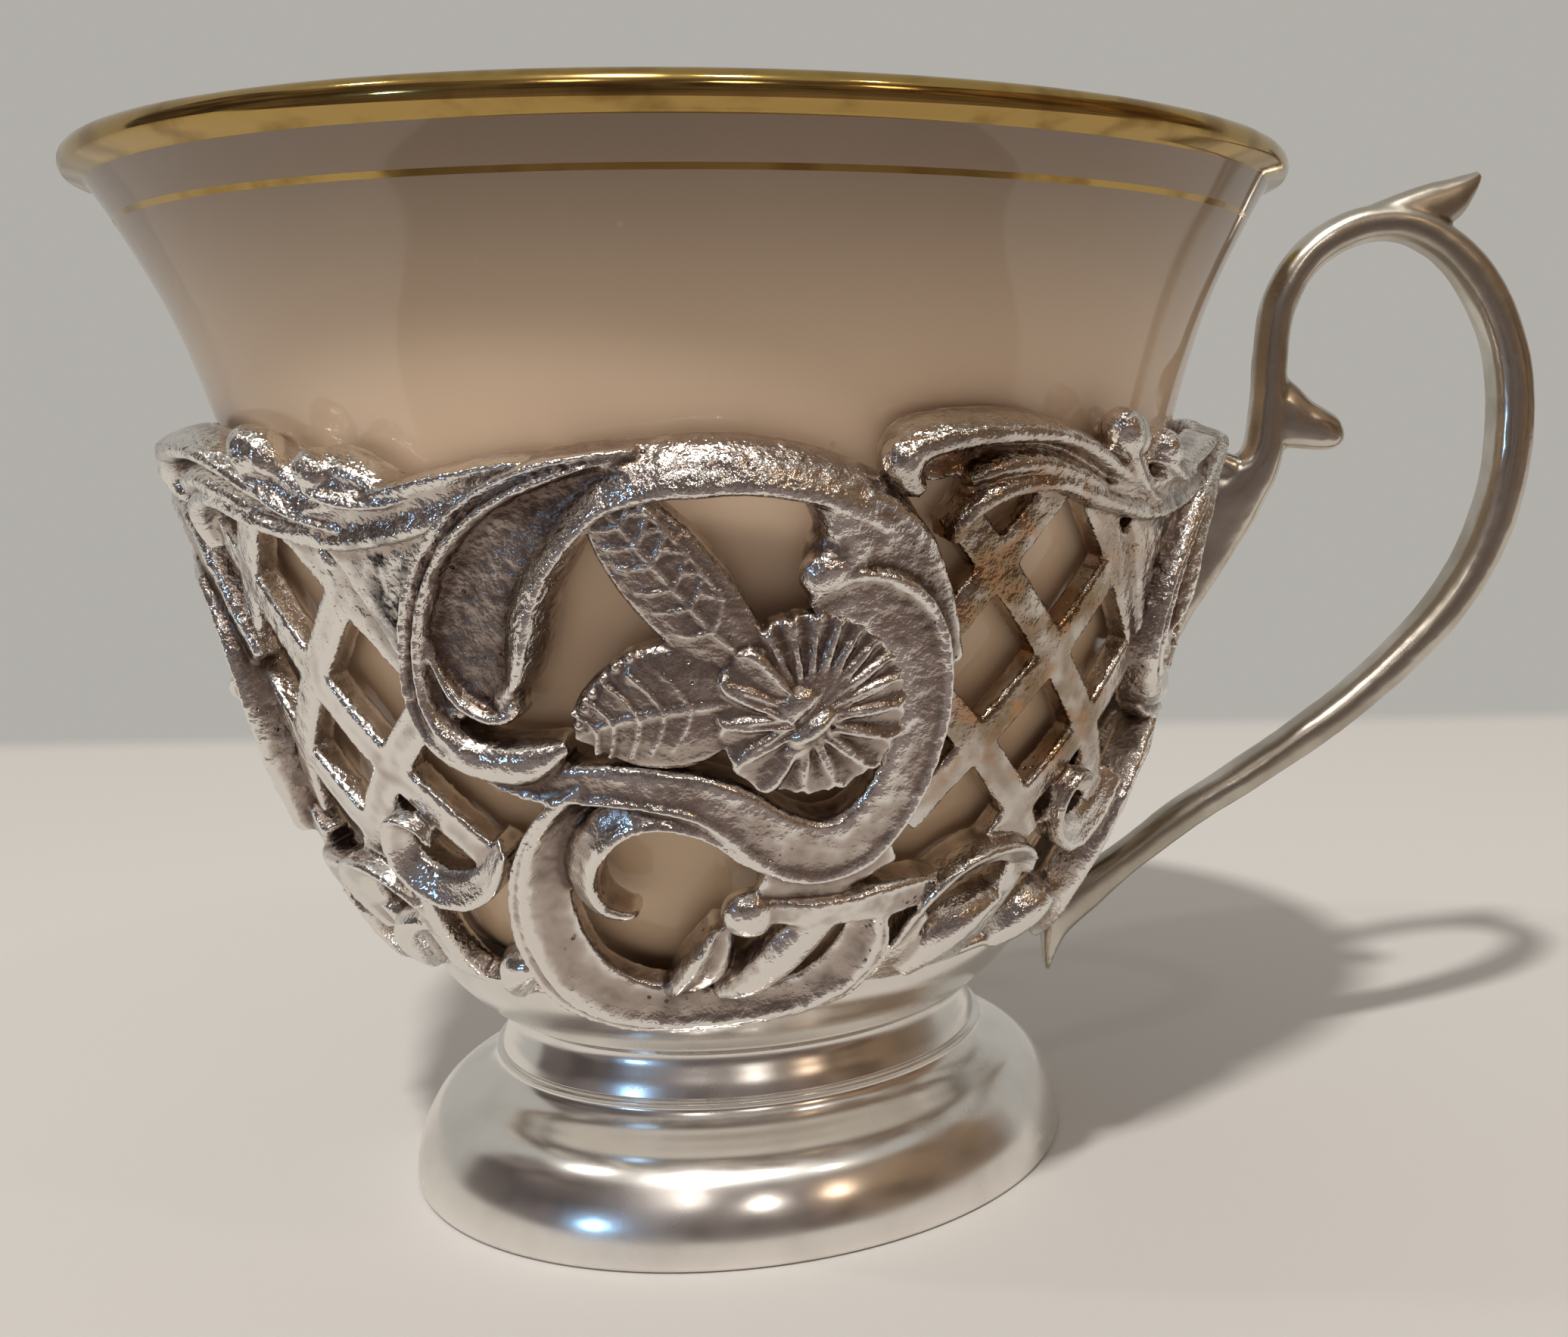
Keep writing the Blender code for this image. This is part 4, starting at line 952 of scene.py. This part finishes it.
handleParts = [handleBand(handleShape[key]) for key in ("loop", "tab", "topSpur", "thumbSpur")]
handleBlank = castMesh("handleCasting", handleParts, handleShape)
addPiece("handleCasting", handleBlank, "holder", ["handle"], [handleSilver()])
print("handle cast")


# floor, light and camera

studio = {
    "floor": (0.77, 0.75, 0.73, 1), "floorSize": 3.0, "floorDrop": 0.02 * mm,
    "floorEdge": 0.150, "edgeSlope": 0.195, "edgeBlur": 0.008,    # where the table meets the wall
    "wall": (0.44, 0.425, 0.395, 1),
    "room": (0.12, 0.098, 0.096, 1), "roomRight": (0.21, 0.14, 0.088, 1),
    "roomRadius": 0.70, "roomTop": 0.70, "roomFrom": -200, "roomTurn": 214,    # degrees round the cup
    "tableFront": 0.052,
    "camera": (-0.74, -115.2, 45.45),        # from the cup's foot, in mm
    "yaw": 10.75, "pitch": -6.07, "roll": -1.18, "focal": 2414, "middle": (1400, 800),
    "photo": (2072, 1767),
    "aim": (0, 0, 0.03),        # where every lamp points
}


def floorMaterial():
    # a pale table that gives way to the wall's grey behind the cup
    made, tree, shader = newMaterial("paleFloor")
    tint = remap(tree, noiseAt(tree, 4, 2), 0.3, 0.7)
    shade = tuple(0.97 * c for c in studio["floor"][:3]) + (1,)
    tree.links.new(mixColour(tree, tint, studio["floor"], shade), shader.inputs["Base Color"])
    shader.inputs["Roughness"].default_value = 0.9
    shader.inputs["Specular IOR Level"].default_value = 0.1
    slant = math2(tree, "MULTIPLY", axisAt(tree, "X"), studio["edgeSlope"])
    behind = math2(tree, "ADD", axisAt(tree, "Y"), slant)
    edge, blur = studio["floorEdge"], studio["edgeBlur"]
    wall = remap(tree, behind, edge - blur, edge + blur)
    glow = addNode(tree, "ShaderNodeEmission")
    glow.inputs["Color"].default_value = studio["wall"]
    blend = addNode(tree, "ShaderNodeMixShader")
    tree.links.new(wall, blend.inputs["Fac"])
    tree.links.new(shader.outputs["BSDF"], blend.inputs[1])
    tree.links.new(glow.outputs["Emission"], blend.inputs[2])
    tree.links.new(blend.outputs["Shader"], tree.nodes["Material Output"].inputs["Surface"])
    return made


def addScreen(name, bm, material, seen=False, drop=0.0):
    # a part of the set, which the camera sees or only the silver and the glaze mirror
    mesh = bpy.data.meshes.new(name)
    bm.to_mesh(mesh)
    bm.free()
    mesh.materials.append(material)
    screen = bpy.data.objects.new(name, mesh)
    bpy.context.scene.collection.objects.link(screen)
    screen.location.z = -drop
    screen.visible_camera = seen
    return screen


def addRoom():
    # a dark curved screen round the front and both sides, for the unlit room
    made, tree, shader = newMaterial("darkRoom")
    colour = mixColour(tree, remap(tree, axisAt(tree, "X"), 0.1, 0.6), studio["room"], studio["roomRight"])
    blotch = remap(tree, noiseAt(tree, 6, 3), 0.35, 0.68, 0.5, 2.2)
    tree.links.new(mixColour(tree, 1.0, colour, blotch, "MULTIPLY"), shader.inputs["Base Color"])
    shader.inputs["Roughness"].default_value = 0.9
    bm = bmesh.new()
    start = math.radians(studio["roomFrom"])
    foot = Vector((math.cos(start), math.sin(start), 0)) * studio["roomRadius"]
    verts = [bm.verts.new(foot + Vector((0, 0, z))) for z in (0.0, studio["roomTop"])]
    edge = bm.edges.new(verts)
    bmesh.ops.spin(bm, geom=verts + [edge], cent=(0, 0, 0), axis=(0, 0, 1),
                   angle=math.radians(studio["roomTurn"]), steps=32)
    addScreen("darkRoom", bm, made)
    # beyond the table's near edge the room's floor is unlit; this dark sheet is a painted reflection of that
    # shade, which only the silver and the glaze mirror
    bm = bmesh.new()
    bmesh.ops.create_grid(bm, x_segments=1, y_segments=1, size=0.5)
    reach = studio["roomRadius"] - studio["tableFront"]
    middle = Matrix.Translation((0, -studio["tableFront"] - reach / 2, 0.4 * mm))
    bmesh.ops.transform(bm, matrix=middle @ Matrix.Diagonal((1.2, reach, 1, 1)), verts=bm.verts)
    apron = addScreen("darkApron", bm, made)
    apron.visible_diffuse = False
    apron.visible_shadow = False


def addFloor():
    bm = bmesh.new()
    bmesh.ops.create_grid(bm, x_segments=2, y_segments=2, size=studio["floorSize"])
    addScreen("floor", bm, floorMaterial(), True, studio["floorDrop"])


def addLamp(name, place, size, power, colour, glint=False):
    data = bpy.data.lights.new(name, "AREA")
    data.shape = "DISK"
    data.size = size
    data.energy = power
    data.color = colour
    lamp = bpy.data.objects.new(name, data)
    bpy.context.scene.collection.objects.link(lamp)
    lamp.location = place
    lamp.rotation_euler = (Vector(studio["aim"]) - Vector(place)).to_track_quat("-Z", "Y").to_euler()
    lamp.visible_diffuse = not glint     # a glint lamp shows in the silver and the glaze only


def addWorld():
    world = bpy.data.worlds.new("studioAir")
    bpy.context.scene.world = world
    world.use_nodes = True
    world.node_tree.nodes["Background"].inputs["Color"].default_value = studio["wall"]
    world.node_tree.nodes["Background"].inputs["Strength"].default_value = 1.0


def addCamera():
    data = bpy.data.cameras.new("photoCamera")
    camera = bpy.data.objects.new("photoCamera", data)
    bpy.context.scene.collection.objects.link(camera)
    width, height = studio["photo"]
    data.sensor_width = 36
    data.lens = studio["focal"] / width * 36
    data.shift_x = (width / 2 - studio["middle"][0]) / width
    data.shift_y = (studio["middle"][1] - height / 2) / width
    data.clip_start = 0.005
    yaw, pitch, roll = (math.radians(studio[key]) for key in ("yaw", "pitch", "roll"))
    turn = Matrix.Rotation(-yaw, 4, "Z") @ Matrix.Rotation(math.pi / 2 + pitch, 4, "X")
    turn = turn @ Matrix.Rotation(roll, 4, "Z")
    camera.matrix_world = Matrix.Translation(Vector(studio["camera"]) * mm + cupAxis) @ turn
    bpy.context.scene.camera = camera


addFloor()
addWorld()
addCamera()
addRoom()
addLamp("keyLamp", (-0.19, -0.44, 0.82), 0.06, 4.7, (1.0, 0.96, 0.90))
addLamp("windowLamp", (-0.50, -0.38, 0.10), 0.035, 0.22, (0.34, 0.62, 1.0), True)
addLamp("glintLampTop", (0.03, -0.42, 0.78), 0.07, 0.9, (1.0, 0.95, 0.90), True)
addLamp("glintLampMiddle", (0.04, -0.62, 0.34), 0.09, 0.16, (1.0, 0.92, 0.84), True)
addLamp("glintLampLeft", (-0.26, -0.56, 0.42), 0.09, 0.15, (1.0, 0.92, 0.86), True)
addLamp("glintLampRight", (0.32, -0.54, 0.34), 0.09, 0.12, (1.0, 0.74, 0.52), True)
addLamp("farLampRight", (0.35, -0.45, 0.80), 0.04, 0.2, (1.0, 0.93, 0.84))
addLamp("farLampLeft", (-0.60, -0.05, 0.80), 0.04, 0.5, (1.0, 0.95, 0.90))
bpy.context.scene.view_settings.view_transform = "Standard"
print("studio set")
